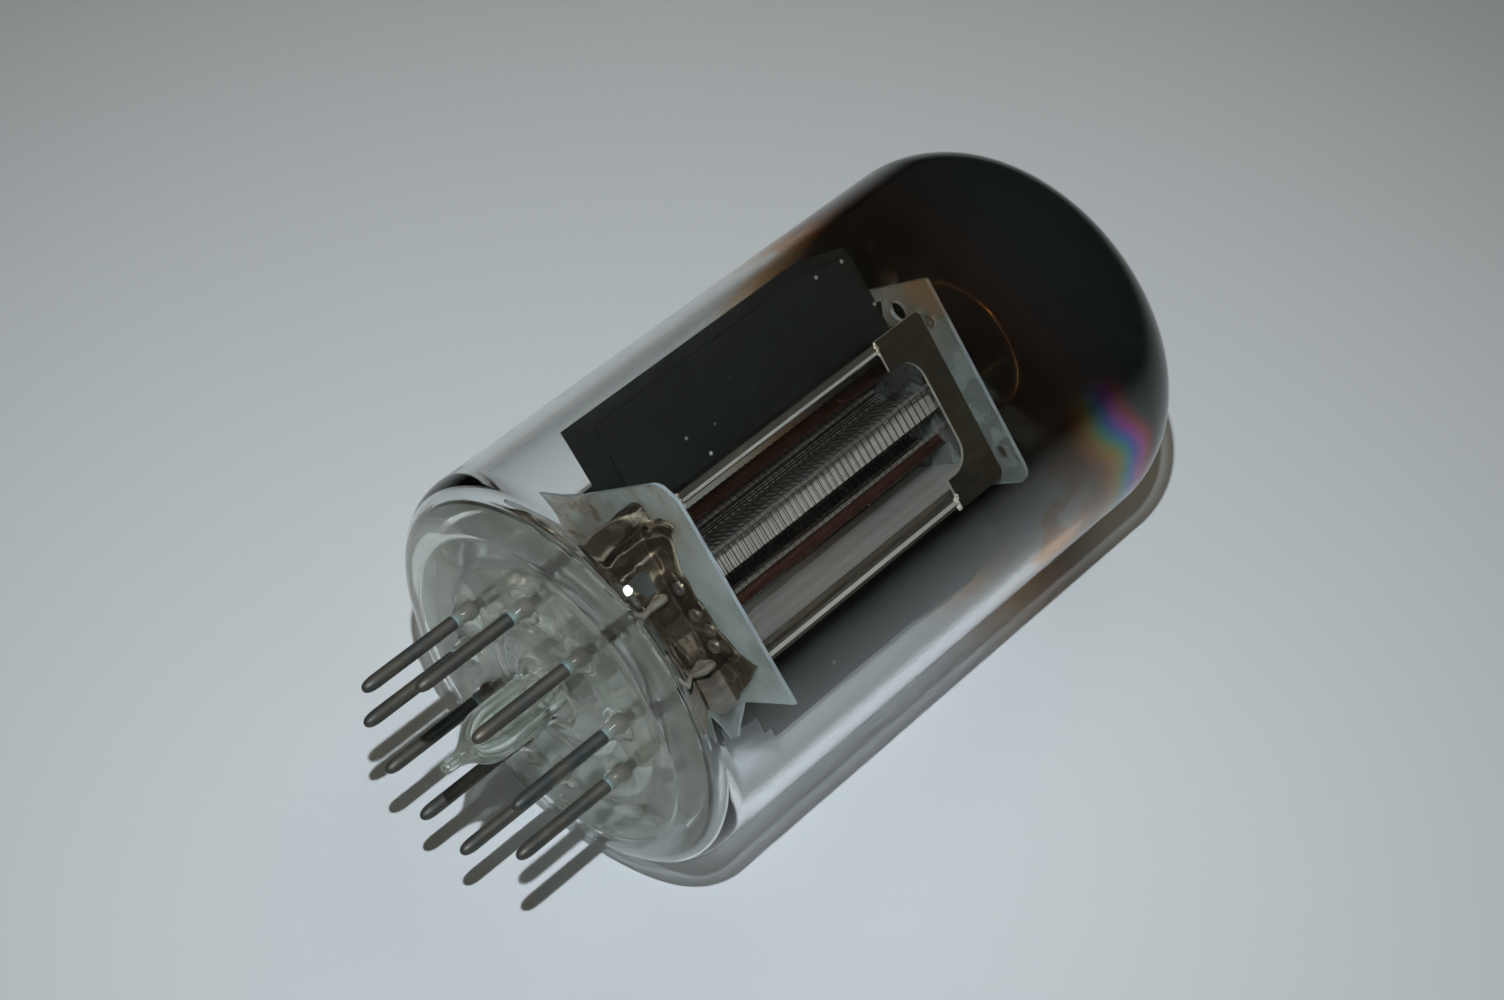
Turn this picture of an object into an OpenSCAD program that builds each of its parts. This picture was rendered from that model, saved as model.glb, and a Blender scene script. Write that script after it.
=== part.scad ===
// Power vacuum tube: an all-glass beam power tube on a nine-pin moulded base.
// It stands on its pin tips at z = 0, with the tube's axis on Z and the open
// window of the electrode cage facing -Y. All sizes are in millimetres.

/* [Glass] */
// Outer diameter of the bulb
bulb_d = 39; // [38.6:0.1:40]
// Height from the pin tips to the top of the dome
overall_h = 79; // [78:0.5:90]
// Thickness of the bulb wall
glass_t = 1.2; // [1:0.05:1.3]
// Radius of the dome's shoulder
dome_shoulder_r = 8.6; // [8:0.1:9]
// Radius of the dome's crown
dome_crown_r = 70; // [60:1:90]
// Radius of the bulb's bottom edge
heel_r = 3.7; // [3.6:0.1:3.8]

/* [Base] */
// Diameter of a pin
pin_d = 1.27; // [1.2:0.01:1.3]
// Length of a pin outside the glass
pin_len = 10.2; // [10:0.1:10.4]
// Length of a pin's blunt point
pin_point = 1.35; // [1:0.05:1.6]
// Diameter of the circle that the pins stand on
pin_circle_d = 19.05; // [18.9:0.05:19.2]
// Diameter of the sealing wire inside the glass
seal_wire_d = 0.9; // [0.8:0.05:0.95]
// Height of a glass bead round a pin
bead_h = 1.9; // [1.5:0.1:2.1]
// Diameter of a bead where it grows out of the button
bead_root_d = 3.4; // [3:0.1:3.6]

/* [Cage] */
// Underside of the bottom mica
bottom_mica_z = 23.3; // [23.2:0.1:23.8]
// Underside of the top mica
top_mica_z = 59.5; // [59:0.1:60]
// Thickness of the micas
mica_t = 0.35; // [0.3:0.05:0.4]
// Thickness of the anode's nickel sheet
anode_t = 0.3; // [0.25:0.05:0.3]
// Distance from the axis to the middle of an anode's inner wall
anode_x = 7.2; // [7.15:0.05:7.3]
// Thickness of the blackened fins
fin_t = 0.25; // [0.2:0.05:0.3]
// Distance from the middle plane to the seam between the two fin sheets
fin_seam_y = 1.5; // [1.2:0.1:1.8]
// Thickness of the end frames
frame_t = 0.33; // [0.25:0.01:0.4]

/* [Grids and cathode] */
// Pitch of the turns of both grids
turn_pitch = 0.75; // [0.7:0.05:1]
// Thickness of the grid wire
grid_wire_d = 0.1; // [0.08:0.02:0.14]
// Width of a control grid side bar
bar_w = 1.8; // [1.6:0.1:1.9]
// Thickness of a control grid side bar
bar_t = 0.5; // [0.4:0.05:0.55]
// Diameter of a copper side rod
copper_rod_d = 1.3; // [1.1:0.1:1.4]
// Diameter of a thin screen grid rod
screen_rod_d = 0.35; // [0.3:0.05:0.4]
// Width of the oval cathode sleeve, across its flat sides
sleeve_w = 1.1; // [1:0.05:1.2]
// Depth of the oval cathode sleeve, front to rear
sleeve_depth = 4.2; // [4:0.1:4.3]

/* [Getter] */
// Radius of the getter ring
ring_r = 6.6; // [6:0.1:7]
// Thickness of the getter ring's channel
ring_d = 0.8; // [0.6:0.1:0.9]
// Thickness of the mirror film
film_t = 0.08; // [0.06:0.01:0.1]
// Tilt of the film's lower edge
film_tilt = 3; // [0:1:5]

/* [Hidden] */
$fn = 64;
EPS = 0.01;
BIG = 100;

BULB_R = bulb_d / 2;
BORE_R = BULB_R - glass_t;
PIN_R = pin_d / 2;
PIN_CIRCLE_R = pin_circle_d / 2;

// The dome: the shoulder's arc runs into the crown's arc without a corner.
CROWN_Z = overall_h - dome_crown_r;
SHOULDER_X = BULB_R - dome_shoulder_r;
SHOULDER_Z = CROWN_Z + sqrt(pow(dome_crown_r - dome_shoulder_r, 2) - pow(SHOULDER_X, 2));
DOME_A = atan2(SHOULDER_Z - CROWN_Z, SHOULDER_X);

// The base: the heel's arc turns the bulb in to the edge of the button.
HEEL_Z = 15.7;
BUTTON_R = BULB_R - heel_r;
BUTTON_Z = HEEL_Z - heel_r;
BUTTON_EDGE_T = 1.9;
BUTTON_TOP_Z = 15.9;
HEEL_BORE_R = 1;
LEAD_Z = BUTTON_TOP_Z + 0.1;

// The mould leaves a groove round the button, outside the pins.
GROOVE_R = 15.1;
GROOVE_WIRE_R = 0.32;

// Half section of the sealed-off pumping stem, from its point up to the button,
// and the bore that it had when the tube was pumped.
TIP_FORM = [
    [0, 1.05], [0.42, 1.12], [0.7, 1.45], [0.76, 1.95], [0.68, 2.6], [0.76, 3.6], [1, 4.8], [1.4, 6],
    [1.9, 7.2], [2.25, 8.3], [2.36, 9.3], [2.36, 10.4], [2.55, 11.2], [3.1, 11.75], [4, BUTTON_Z]
];
TIP_BORE_R = 1.4;
TIP_BORE = [[0, 5.4], [0.35, 5.65], [0.8, 6.7], [1.15, 7.9], [1.33, 9.2], [TIP_BORE_R, 10.6]];

// Pins, counted round the circle: nine azimuths, with a wide gap at each side.
PIN_AZ = [30, 60, 90, 120, 150, 210, 250, 290, 330];

// A pin's point, as shares of the pin's radius and of the point's length.
POINT_FORM = [[0, 0], [0.3, 0.03], [0.57, 0.12], [0.8, 0.3], [0.94, 0.62], [1, 1]];

MICA_TOP_Z = bottom_mica_z + mica_t;
CAGE_H = top_mica_z - MICA_TOP_Z;
ROD_BOTTOM_Z = bottom_mica_z - 1.3;
ROD_TOP_Z = top_mica_z + mica_t + 1.3;

// Anode plates: where the sheet steps out, and how far its flanges reach.
STEP_Y = 5;
FLANGE_Y = 6.15;
FLANGE_STEP = 0.35;
FLANGE_X = 8.4;
TAB_HALF = 1.1;
TAB_LEN = 0.9;

// Fins: blade outlines in X and Z, as far as the glass leaves room for.
FIN_FOOT_X = anode_x + anode_t / 2 + fin_t / 2;
FIN_FOOT_Y = 4.5;
FIN_TOP_Z = top_mica_z - 0.2;

// End frames
FRAME_X = 8.65;
FRAME_LEG_X = 5.7;
FRAME_BAR_Z = 2.6;
TOP_FRAME_FOOT = 5.8;
BOTTOM_FRAME_FOOT = 4.7;
FRAME_NOTCH_R = 2.3;
FRAME_Y = FLANGE_Y + anode_t / 2;

// Grids
BAR_Y = 2.75;
ROD_X = 2;
ROD_Y = 4.9;
COPPER_X = 4.4;
TURN_COUNT = floor((CAGE_H - 3) / turn_pitch);
TURN_Z = MICA_TOP_Z + 1.5;
CONTROL_X = 1.25;
CONTROL_CORNER_R = 0.3;
SCREEN_FACE_Y = ROD_Y + screen_rod_d / 2;
SCREEN_SLOPE = 59.4;
SCREEN_SIDE_X = COPPER_X + copper_rod_d / 2 / sin(SCREEN_SLOPE);

// Rear beam plate
BEAM_Y = 5.45;
BEAM_X = 4.15;
BEAM_FLANGE_Y = 2.6;
BEAM_T = 0.25;

// Cathode
SLEEVE_T = 0.12;
SLEEVE_LOW_Z = bottom_mica_z - 2.6;
SLEEVE_TOP_Z = top_mica_z + mica_t + 1.8;
HEATER_D = 0.3;
HEATER_Y = [-1.35, -0.45, 0.45, 1.35];
HEATER_LOW_Z = SLEEVE_LOW_Z - 1;

// Bottom shield
SHIELD_T = 0.3;
SHIELD_Y = 7.5;
SHIELD_DROP = 4.2;
WING_T = 0.2;
WING_DROP = 5.8;
ROLL_AT = [-9.9, -9.2];
ROLL_R = 1.1;
SHIELD_EYELETS = [[-2.6, -8.75], [0, -9], [1.5, -9.9], [3.1, -9.2]];
EYELET_R = 0.42;
EYELET_BORE_R = 0.26;
EYELET_HEAD_R = 0.62;
EYELET_HEAD_T = 0.14;
TOP_EYELETS = [[-7.4, -7.6], [6.3, -8.1], [-7.4, 7.6], [6.3, 8.1]];

// Inner leads
LEAD_D = 0.7;
WIRE_BEND_R = 0.7;
RIBBON_T = 0.2;

// Getter
RING_AT = [-1.9, -1.3, 66];
RING_LEG_AZ = [-78, 102];
FILM_LOW_Z = 52;

// Small shared shapes

// Round bends of a wire's route: each corner becomes a short curve.
function unit(v) = v / norm(v);
function bend(a, p, b, r) =
    let (from = p + unit(a - p) * min(r, norm(a - p) / 2), to = p + unit(b - p) * min(r, norm(b - p) / 2))
    [for (t = [0 : 0.25 : 1]) pow(1 - t, 2) * from + 2 * t * (1 - t) * p + pow(t, 2) * to];
function rounded(route, r) = concat(
    [route[0]],
    [for (i = [1 : len(route) - 2]) each bend(route[i - 1], route[i], route[i + 1], r)],
    [route[len(route) - 1]]
);

// Directions along a path, and a side vector carried along it without twist.
function headings(path) =
    [for (i = [0 : len(path) - 1]) unit(path[min(i + 1, len(path) - 1)] - path[max(i - 1, 0)])];
function carried(dirs, i = 0, side = [1, 0, 0]) =
    i == len(dirs) ? [] :
    let (s = unit(side - dirs[i] * (side * dirs[i]))) concat([s], carried(dirs, i + 1, s));

// A wire of diameter d along a route that starts upright.
module wire(route, d) {
    sides = 10;
    path = rounded(route, WIRE_BEND_R);
    dirs = headings(path);
    side = carried(dirs);
    last = len(path) - 1;
    ring = [for (i = [0 : last], j = [0 : sides - 1])
        path[i] + d / 2 * (cos(360 * j / sides) * side[i] + sin(360 * j / sides) * cross(dirs[i], side[i]))];
    walls = [for (i = [0 : last - 1], j = [0 : sides - 1]) let (k = (j + 1) % sides)
        [i * sides + j, (i + 1) * sides + j, (i + 1) * sides + k, i * sides + k]];
    ends = [[for (j = [0 : sides - 1]) j], [for (j = [sides - 1 : -1 : 0]) last * sides + j]];
    polyhedron(ring, concat(walls, ends));
}

// The section of a sheet of thickness t that is folded along a list of points.
module folded_section(points, t) {
    for (i = [0 : len(points) - 2]) {
        v = points[i + 1] - points[i];
        translate(points[i]) rotate(atan2(v.y, v.x)) translate([0, -t / 2]) square([norm(v), t]);
    }
    for (i = [1 : len(points) - 2])
        translate(points[i]) circle(d = t);
}

module mirrored_y(rear) {
    mirror([0, rear ? 1 : 0, 0]) children();
}

function on_circle(az, r) = [r * cos(az), r * sin(az)];

// Points of an arc from angle a0 to a1, as the corner of an outline.
function arc(c, r, a0, a1, steps = 8) =
    [for (i = [0 : steps]) c + on_circle(a0 + (a1 - a0) * i / steps, r)];

// Glass

// Half section of the bulb's form, drawn in by inset, with a rounded corner at its floor.
module bulb_form(inset, corner_r, floor_z) {
    r = BULB_R - inset;
    corner_z = floor_z + corner_r;
    translate([0, corner_z]) square([r, SHOULDER_Z - corner_z]);
    intersection() {
        translate([0, CROWN_Z]) circle(r = dome_crown_r - inset, $fn = 360);
        translate([0, SHOULDER_Z]) square(BIG);
        polygon([[0, CROWN_Z], [0, BIG], on_circle(DOME_A, BIG) + [0, CROWN_Z]]);
    }
    translate([0, SHOULDER_Z]) square([SHOULDER_X, dome_shoulder_r / 2]);
    translate([SHOULDER_X, SHOULDER_Z]) intersection() {
        circle(r = dome_shoulder_r - inset);
        square(dome_shoulder_r);
    }
    translate([r - corner_r, corner_z]) intersection() {
        circle(r = corner_r);
        translate([0, -corner_r]) square(corner_r);
    }
    translate([0, floor_z]) square([r - corner_r, corner_r]);
}

module bulb_inside(inset) {
    bulb_form(inset, HEEL_BORE_R, BUTTON_Z + BUTTON_EDGE_T);
}

module glass_bulb() {
    color([0.85, 0.9, 0.9, 0.3])
        rotate_extrude($fn = 180)
            difference() {
                bulb_form(0, heel_r, BUTTON_Z);
                bulb_inside(glass_t);
                square([BUTTON_R, HEEL_Z]);
            }
}

// Half section of the moulded button: a thick ring carries the pins, between a groove
// in its underside and a step up from its edge, and the pumping bore is in its middle.
module button_form() {
    ring_h = BUTTON_TOP_Z - BUTTON_Z;
    difference() {
        polygon([
            [TIP_BORE_R, 0], [BUTTON_R, 0], [BUTTON_R, BUTTON_EDGE_T], [14.4, BUTTON_EDGE_T + 0.3],
            [13.2, 2.8], [12.3, 3.2], [11.8, ring_h], [7.4, ring_h], [6.9, 3.2], [TIP_BORE_R, 2.8]
        ]);
        translate([GROOVE_R, 0]) circle(r = GROOVE_WIRE_R, $fn = 24);
    }
}

// The glass runs down each pin in a hollow curve.
module bead(az) {
    top_r = bead_root_d / 2;
    low_r = PIN_R + 0.15;
    curve = [for (t = [0 : 0.2 : 1]) [low_r + (top_r - low_r) * pow(t, 2.5), t * bead_h]];
    rotate(az) translate([PIN_CIRCLE_R, 0, pin_len])
        rotate_extrude() polygon(concat([[0, 0]], curve, [[0, bead_h]]));
}

module button_stem() {
    color([0.72, 0.78, 0.74, 0.5])
        difference() {
            union() {
                translate([0, 0, BUTTON_Z]) rotate_extrude($fn = 180) button_form();
                for (az = PIN_AZ) bead(az);
            }
            for (az = PIN_AZ)
                translate(concat(on_circle(az, PIN_CIRCLE_R), 0)) cylinder(h = BIG, d = seal_wire_d);
        }
}

// The sealed-off end of the tube that the air was pumped out through.
module exhaust_tip() {
    color([0.78, 0.82, 0.8, 0.5])
        rotate_extrude()
            difference() {
                polygon(concat(TIP_FORM, [[0, BUTTON_Z]]));
                polygon(concat(TIP_BORE, [[TIP_BORE_R, BIG], [0, BIG]]));
            }
}

module getter_film() {
    color([0.13, 0.09, 0.07])
        difference() {
            rotate_extrude($fn = 120)
                difference() {
                    bulb_inside(glass_t);
                    bulb_inside(glass_t + film_t);
                }
            translate([0, 0, FILM_LOW_Z]) rotate([0, film_tilt, 40])
                translate([-BIG, -BIG, -2 * BIG]) cube(2 * BIG);
        }
}

// Pins

// A pin: blunt point, thick outside the glass, thin sealing wire inside it.
module pin(index) {
    seal_r = seal_wire_d / 2;
    point = [for (p = POINT_FORM) [p.x * PIN_R, p.y * pin_point]];
    color([0.25, 0.25, 0.24])
        translate(concat(on_circle(PIN_AZ[index - 1], PIN_CIRCLE_R), 0))
            rotate_extrude()
                polygon(concat(point, [[PIN_R, pin_len], [seal_r, pin_len], [seal_r, LEAD_Z], [0, LEAD_Z]]));
}

// Sections of the pieces that stand in the micas, used for the holes too

module anode_section() {
    path = [
        [FLANGE_X, -FLANGE_Y],
        [anode_x + FLANGE_STEP, -FLANGE_Y],
        [anode_x + FLANGE_STEP, -STEP_Y - FLANGE_STEP],
        [anode_x, -STEP_Y],
        [anode_x, STEP_Y],
        [anode_x + FLANGE_STEP, STEP_Y + FLANGE_STEP],
        [anode_x + FLANGE_STEP, FLANGE_Y],
        [FLANGE_X, FLANGE_Y]
    ];
    folded_section(path, anode_t);
}

module anode_tabs_section() {
    translate([anode_x - anode_t / 2, -TAB_HALF]) square([anode_t, 2 * TAB_HALF]);
}

module bar_section() {
    for (s = [-1, 1])
        translate([-bar_w / 2, s * BAR_Y - bar_t / 2]) square([bar_w, bar_t]);
}

module copper_section() {
    for (s = [-1, 1]) translate([s * COPPER_X, 0]) circle(d = copper_rod_d);
}

module screen_rod_section() {
    for (x = [-ROD_X, ROD_X], y = [-ROD_Y, ROD_Y]) translate([x, y]) circle(d = screen_rod_d, $fn = 24);
}

// An oval with half-round ends, drawn in by inset.
module sleeve_section(inset) {
    r = sleeve_w / 2;
    for (s = [-1, 1]) translate([0, s * (sleeve_depth / 2 - r)]) circle(r = r - inset);
    translate([-r + inset, -sleeve_depth / 2 + r]) square([2 * (r - inset), sleeve_depth - 2 * r]);
}

module mica_holes() {
    bar_section();
    copper_section();
    screen_rod_section();
    sleeve_section(0);
    anode_tabs_section();
    mirror([1, 0]) anode_tabs_section();
}

// Micas

module bottom_mica_outline() {
    corner_r = 2.5;
    corner = [-9.65, -12.6];
    intersection() {
        circle(r = BORE_R - 0.05, $fn = 180);
        polygon(concat(
            arc(corner, corner_r, 180, 270),
            [[8.9, -15.4], [8.9, -8.2], [12.6, -4.6], [12.6, 4.6], [8.9, 8.2], [8.9, 15.4]],
            arc([corner.x, -corner.y], corner_r, 90, 120),
            [[-13.6, 9.6], [-12, -1]]
        ));
    }
}

module bottom_mica() {
    color([0.72, 0.76, 0.76, 0.9])
        translate([0, 0, bottom_mica_z]) linear_extrude(mica_t)
            difference() {
                bottom_mica_outline();
                mica_holes();
                for (p = SHIELD_EYELETS, s = [-1, 1]) translate([p.x, s * p.y]) circle(r = EYELET_R);
            }
}

// A sheet with small corners on the left and large ones on the right.
module top_mica_outline() {
    low = [-11.3, -9.8];
    high = [9.6, 9.8];
    small_r = 0.4;
    large_r = 1.8;
    polygon(concat(
        arc([low.x + small_r, low.y + small_r], small_r, 180, 270),
        arc([high.x - large_r, low.y + large_r], large_r, 270, 360),
        arc([high.x - large_r, high.y - large_r], large_r, 0, 90),
        arc([low.x + small_r, high.y - small_r], small_r, 90, 180)
    ));
}

module top_mica() {
    large_hole_r = 0.95;
    color([0.78, 0.82, 0.84, 0.9])
        translate([0, 0, top_mica_z]) linear_extrude(mica_t)
            difference() {
                top_mica_outline();
                mica_holes();
                for (p = TOP_EYELETS) translate(p) circle(r = EYELET_R);
                for (s = [-1, 1]) translate([-8.8, s * 3.8]) circle(r = large_hole_r);
                polygon([[-10.15, 0.6], [-10.15, -2.3], [-8.2, -1.2], [-8.2, 0.6]]);
            }
}

// Anode

module anode_plate() {
    color([0.75, 0.74, 0.7]) {
        translate([0, 0, MICA_TOP_Z]) linear_extrude(CAGE_H) anode_section();
        translate([0, 0, bottom_mica_z - TAB_LEN])
            linear_extrude(CAGE_H + 2 * (mica_t + TAB_LEN)) anode_tabs_section();
    }
}

module anode_left() { mirror([1, 0, 0]) anode_plate(); }
module anode_right() { anode_plate(); }

// A fin: a foot that lies on the anode plate, and a blade that stands out from it.
// side is -1 for left, turn is -1 for the front sheet; outline is in X and Z.
module fin(side, turn, outline) {
    blade_y = -fin_seam_y + turn * fin_t / 2;
    path = [
        [side * FIN_FOOT_X, turn > 0 ? FIN_FOOT_Y : -FIN_FOOT_Y],
        [side * FIN_FOOT_X, blade_y],
        [side * BULB_R, blade_y]
    ];
    color([0.09, 0.1, 0.11])
        intersection() {
            translate([0, 0, MICA_TOP_Z]) linear_extrude(FIN_TOP_Z - MICA_TOP_Z) folded_section(path, fin_t);
            translate([0, STEP_Y, 0]) rotate([90, 0, 0]) linear_extrude(2 * STEP_Y) polygon(outline);
        }
}

// Where a fin starts at the anode plate, on the left (-1) or on the right (1).
function fin_root(side) = side * (FIN_FOOT_X - fin_t / 2);

module left_fin_rear() {
    fin(-1, 1, [
        [fin_root(-1), MICA_TOP_Z], [-12.1, MICA_TOP_Z], [-12.1, 24.8], [-17.2, 24.7],
        [-17.2, 54.2], [-15.8, FIN_TOP_Z], [fin_root(-1), FIN_TOP_Z]
    ]);
}

module left_fin_front() {
    fin(-1, -1, [
        [fin_root(-1), MICA_TOP_Z], [-10.3, MICA_TOP_Z], [-10.3, 27.5], [-16.1, 27.5],
        [-16.1, 53.4], [-15, FIN_TOP_Z], [fin_root(-1), FIN_TOP_Z]
    ]);
}

module right_fin_rear() {
    fin(1, 1, [
        [fin_root(1), MICA_TOP_Z], [12.1, MICA_TOP_Z], [12.1, 25], [13.5, 25], [13.6, 28.4],
        [16.3, 28.4], [16.3, 46], [17.1, 54.2], [15.8, FIN_TOP_Z], [fin_root(1), FIN_TOP_Z]
    ]);
}

module right_fin_front() {
    fin(1, -1, [
        [fin_root(1), MICA_TOP_Z], [10.3, MICA_TOP_Z], [10.3, 27.5], [15.2, 27.5],
        [15.2, 53.4], [14.4, FIN_TOP_Z], [fin_root(1), FIN_TOP_Z]
    ]);
}

// End frames: C-shaped plates that tie the two anode plates at both ends.

module end_frame_outline(foot) {
    notch_z = -FRAME_BAR_Z;
    chamfer = 0.45;
    difference() {
        polygon([
            [-FRAME_X, -foot], [FRAME_X, -foot], [FRAME_X, -chamfer],
            [FRAME_X - chamfer, 0], [-FRAME_X + chamfer, 0], [-FRAME_X, -chamfer]
        ]);
        translate([-FRAME_LEG_X + FRAME_NOTCH_R, -BIG])
            square([2 * (FRAME_LEG_X - FRAME_NOTCH_R), BIG + notch_z]);
        translate([-FRAME_LEG_X, -BIG]) square([2 * FRAME_LEG_X, BIG + notch_z - FRAME_NOTCH_R]);
        for (s = [-1, 1])
            translate([s * (FRAME_LEG_X - FRAME_NOTCH_R), notch_z - FRAME_NOTCH_R]) circle(r = FRAME_NOTCH_R);
    }
}

module end_frame(bottom, rear) {
    color([0.36, 0.31, 0.26])
        mirrored_y(rear)
            translate([0, -FRAME_Y, bottom ? MICA_TOP_Z : top_mica_z])
                mirror([0, 0, bottom ? 1 : 0])
                    rotate([90, 0, 0]) linear_extrude(frame_t)
                        end_frame_outline(bottom ? BOTTOM_FRAME_FOOT : TOP_FRAME_FOOT);
}

// Grids

module control_grid_bars() {
    color([0.8, 0.79, 0.75])
        translate([0, 0, ROD_BOTTOM_Z]) linear_extrude(ROD_TOP_Z - ROD_BOTTOM_Z) bar_section();
}

// One turn's outline round the two bars, drawn out by the wire.
module control_turn_outline(grow) {
    x = CONTROL_X + grow;
    y = BAR_Y + bar_t / 2 + grow;
    r = CONTROL_CORNER_R + grow;
    translate([-x + r, -y]) square([2 * (x - r), 2 * y]);
    translate([-x, -y + r]) square([2 * x, 2 * (y - r)]);
    for (sx = [-1, 1], sy = [-1, 1]) translate([sx * (x - r), sy * (y - r)]) circle(r = r, $fn = 16);
}

// One turn's outline round the four thin rods and the two copper rods.
module screen_turn_outline(grow) {
    y = SCREEN_FACE_Y + grow;
    side_x = SCREEN_SIDE_X + grow / sin(SCREEN_SLOPE);
    face_x = side_x - y / tan(SCREEN_SLOPE);
    polygon([
        [-face_x, -y], [face_x, -y], [side_x, 0],
        [face_x, y], [-face_x, y], [-side_x, 0]
    ]);
}

// The turns of a grid, at the same heights in both grids, so that they line up.
module winding() {
    for (i = [0 : TURN_COUNT])
        translate([0, 0, TURN_Z + i * turn_pitch]) linear_extrude(grid_wire_d) children();
}

module control_grid_winding() {
    color([0.7, 0.68, 0.62])
        winding()
            difference() {
                control_turn_outline(grid_wire_d);
                control_turn_outline(0);
            }
}

module screen_grid_rods() {
    color([0.8, 0.79, 0.75])
        translate([0, 0, ROD_BOTTOM_Z]) linear_extrude(ROD_TOP_Z - ROD_BOTTOM_Z) screen_rod_section();
}

module screen_grid_winding() {
    color([0.45, 0.42, 0.4])
        winding()
            difference() {
                screen_turn_outline(grid_wire_d);
                screen_turn_outline(0);
            }
}

module copper_rods() {
    color([0.6, 0.33, 0.24])
        translate([0, 0, ROD_BOTTOM_Z]) linear_extrude(ROD_TOP_Z - ROD_BOTTOM_Z) copper_section();
}

// The plate behind the grids: a channel with a crease down its back.
module beam_plate() {
    crease = [-1.5, BEAM_Y + 0.25];
    path = [
        [-BEAM_X, BEAM_FLANGE_Y], [-BEAM_X, BEAM_Y], crease, [-1, BEAM_Y],
        [BEAM_X, BEAM_Y], [BEAM_X, BEAM_FLANGE_Y]
    ];
    color([0.42, 0.36, 0.32])
        translate([0, 0, MICA_TOP_Z]) linear_extrude(CAGE_H) folded_section(path, BEAM_T);
}

// Cathode and heater

module cathode_sleeve() {
    color([0.9, 0.89, 0.86])
        translate([0, 0, SLEEVE_LOW_Z]) linear_extrude(SLEEVE_TOP_Z - SLEEVE_LOW_Z)
            difference() {
                sleeve_section(0);
                sleeve_section(SLEEVE_T);
            }
}

// A strip on edge, welded to the sleeve's side at one end and to the shield at the other.
module cathode_strap() {
    strap_t = 0.15;
    strap_h = 1.2;
    weld_y = 0.8;
    foot = 1.4;
    wall_y = -SHIELD_Y + SHIELD_T;
    color([0.7, 0.69, 0.65])
        translate([-sleeve_w / 2 - strap_t, 0, SLEEVE_LOW_Z]) {
            translate([0, wall_y, 0]) cube([strap_t, weld_y - wall_y, strap_h]);
            translate([-foot, wall_y, 0]) cube([foot + EPS, strap_t, strap_h]);
        }
}

// One coated wire, folded into two hairpins that hang side by side in the sleeve.
module heater() {
    top_bend_z = SLEEVE_TOP_Z - 1.5;
    low_bend_z = SLEEVE_LOW_Z + 0.6;
    half = (HEATER_Y[1] - HEATER_Y[0]) / 2;
    color([0.92, 0.92, 0.9]) {
        for (i = [0 : 3]) {
            outer = i == 0 || i == 3;
            low_z = outer ? HEATER_LOW_Z : low_bend_z;
            translate([0, HEATER_Y[i], low_z]) cylinder(h = top_bend_z - low_z, d = HEATER_D);
        }
        for (y = [HEATER_Y[0], HEATER_Y[2]])
            translate([0, y + half, top_bend_z]) heater_bend(half, 90);
        translate([0, HEATER_Y[1] + half, low_bend_z]) heater_bend(half, -90);
    }
}

module heater_bend(radius, turn) {
    rotate([turn, 0, 90])
        rotate_extrude(angle = 180) translate([radius, 0]) circle(d = HEATER_D, $fn = 24);
}

// Bottom shield

// The flange that lies against the mica, with two horns at its front corners.
module shield_flange_outline() {
    polygon([
        [-8.4, -13.2], [-7.5, -11.5], [-4, -10.5], [-2.5, -10.3], [2, -11], [4, -11.7],
        [5.3, -13.6], [6.9, -10.7], [8.7, -SHIELD_Y], [-9, -SHIELD_Y], [-9.2, -11.4]
    ]);
}

// The wall that hangs from the flange, with two windows.
module shield_wall_outline() {
    difference() {
        polygon([
            [-6.4, 0], [6.4, 0], [6.1, -SHIELD_DROP], [2.4, -SHIELD_DROP], [1.6, -3],
            [-1, -3], [-1.6, -SHIELD_DROP], [-6.1, -SHIELD_DROP]
        ]);
        translate([-5.4, -3]) square([2.2, 1.6]);
        translate([3.2, -3.4]) square([2.2, 1.3]);
    }
}

// Section of the wing that runs on from the wall and ends in an open roll.
module wing_section() {
    bend_at = [-6.2, -SHIELD_Y + SHIELD_T / 2];
    mid_r = ROLL_R - WING_T / 2;
    reach = bend_at - ROLL_AT;
    touch_a = atan2(reach.y, reach.x) + acos(mid_r / norm(reach));
    folded_section([bend_at, ROLL_AT + on_circle(touch_a, mid_r)], WING_T);
    difference() {
        translate(ROLL_AT) circle(r = ROLL_R);
        translate(ROLL_AT) circle(r = ROLL_R - WING_T);
        polygon([ROLL_AT, ROLL_AT + on_circle(touch_a - 55, BIG), ROLL_AT + on_circle(touch_a, BIG)]);
    }
}

module shield(rear) {
    z = bottom_mica_z - SHIELD_T;
    color([0.5, 0.44, 0.38])
        mirrored_y(rear)
            difference() {
                union() {
                    translate([0, 0, z]) linear_extrude(SHIELD_T) shield_flange_outline();
                    translate([0, -SHIELD_Y + SHIELD_T, z + SHIELD_T]) rotate([90, 0, 0])
                        linear_extrude(SHIELD_T) shield_wall_outline();
                    translate([0, 0, z - WING_DROP]) linear_extrude(WING_DROP + EPS) wing_section();
                }
                for (p = SHIELD_EYELETS) translate([p.x, p.y, 0]) cylinder(h = BIG, r = EYELET_R);
            }
}

module eyelet(low_z, grip) {
    translate([0, 0, low_z]) difference() {
        union() {
            translate([0, 0, -EYELET_HEAD_T]) cylinder(h = EYELET_HEAD_T, r = EYELET_HEAD_R);
            cylinder(h = grip, r = EYELET_R);
            translate([0, 0, grip]) cylinder(h = EYELET_HEAD_T, r = EYELET_HEAD_R);
        }
        translate([0, 0, -EYELET_HEAD_T - EPS]) cylinder(h = BIG, r = EYELET_BORE_R);
    }
}

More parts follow.
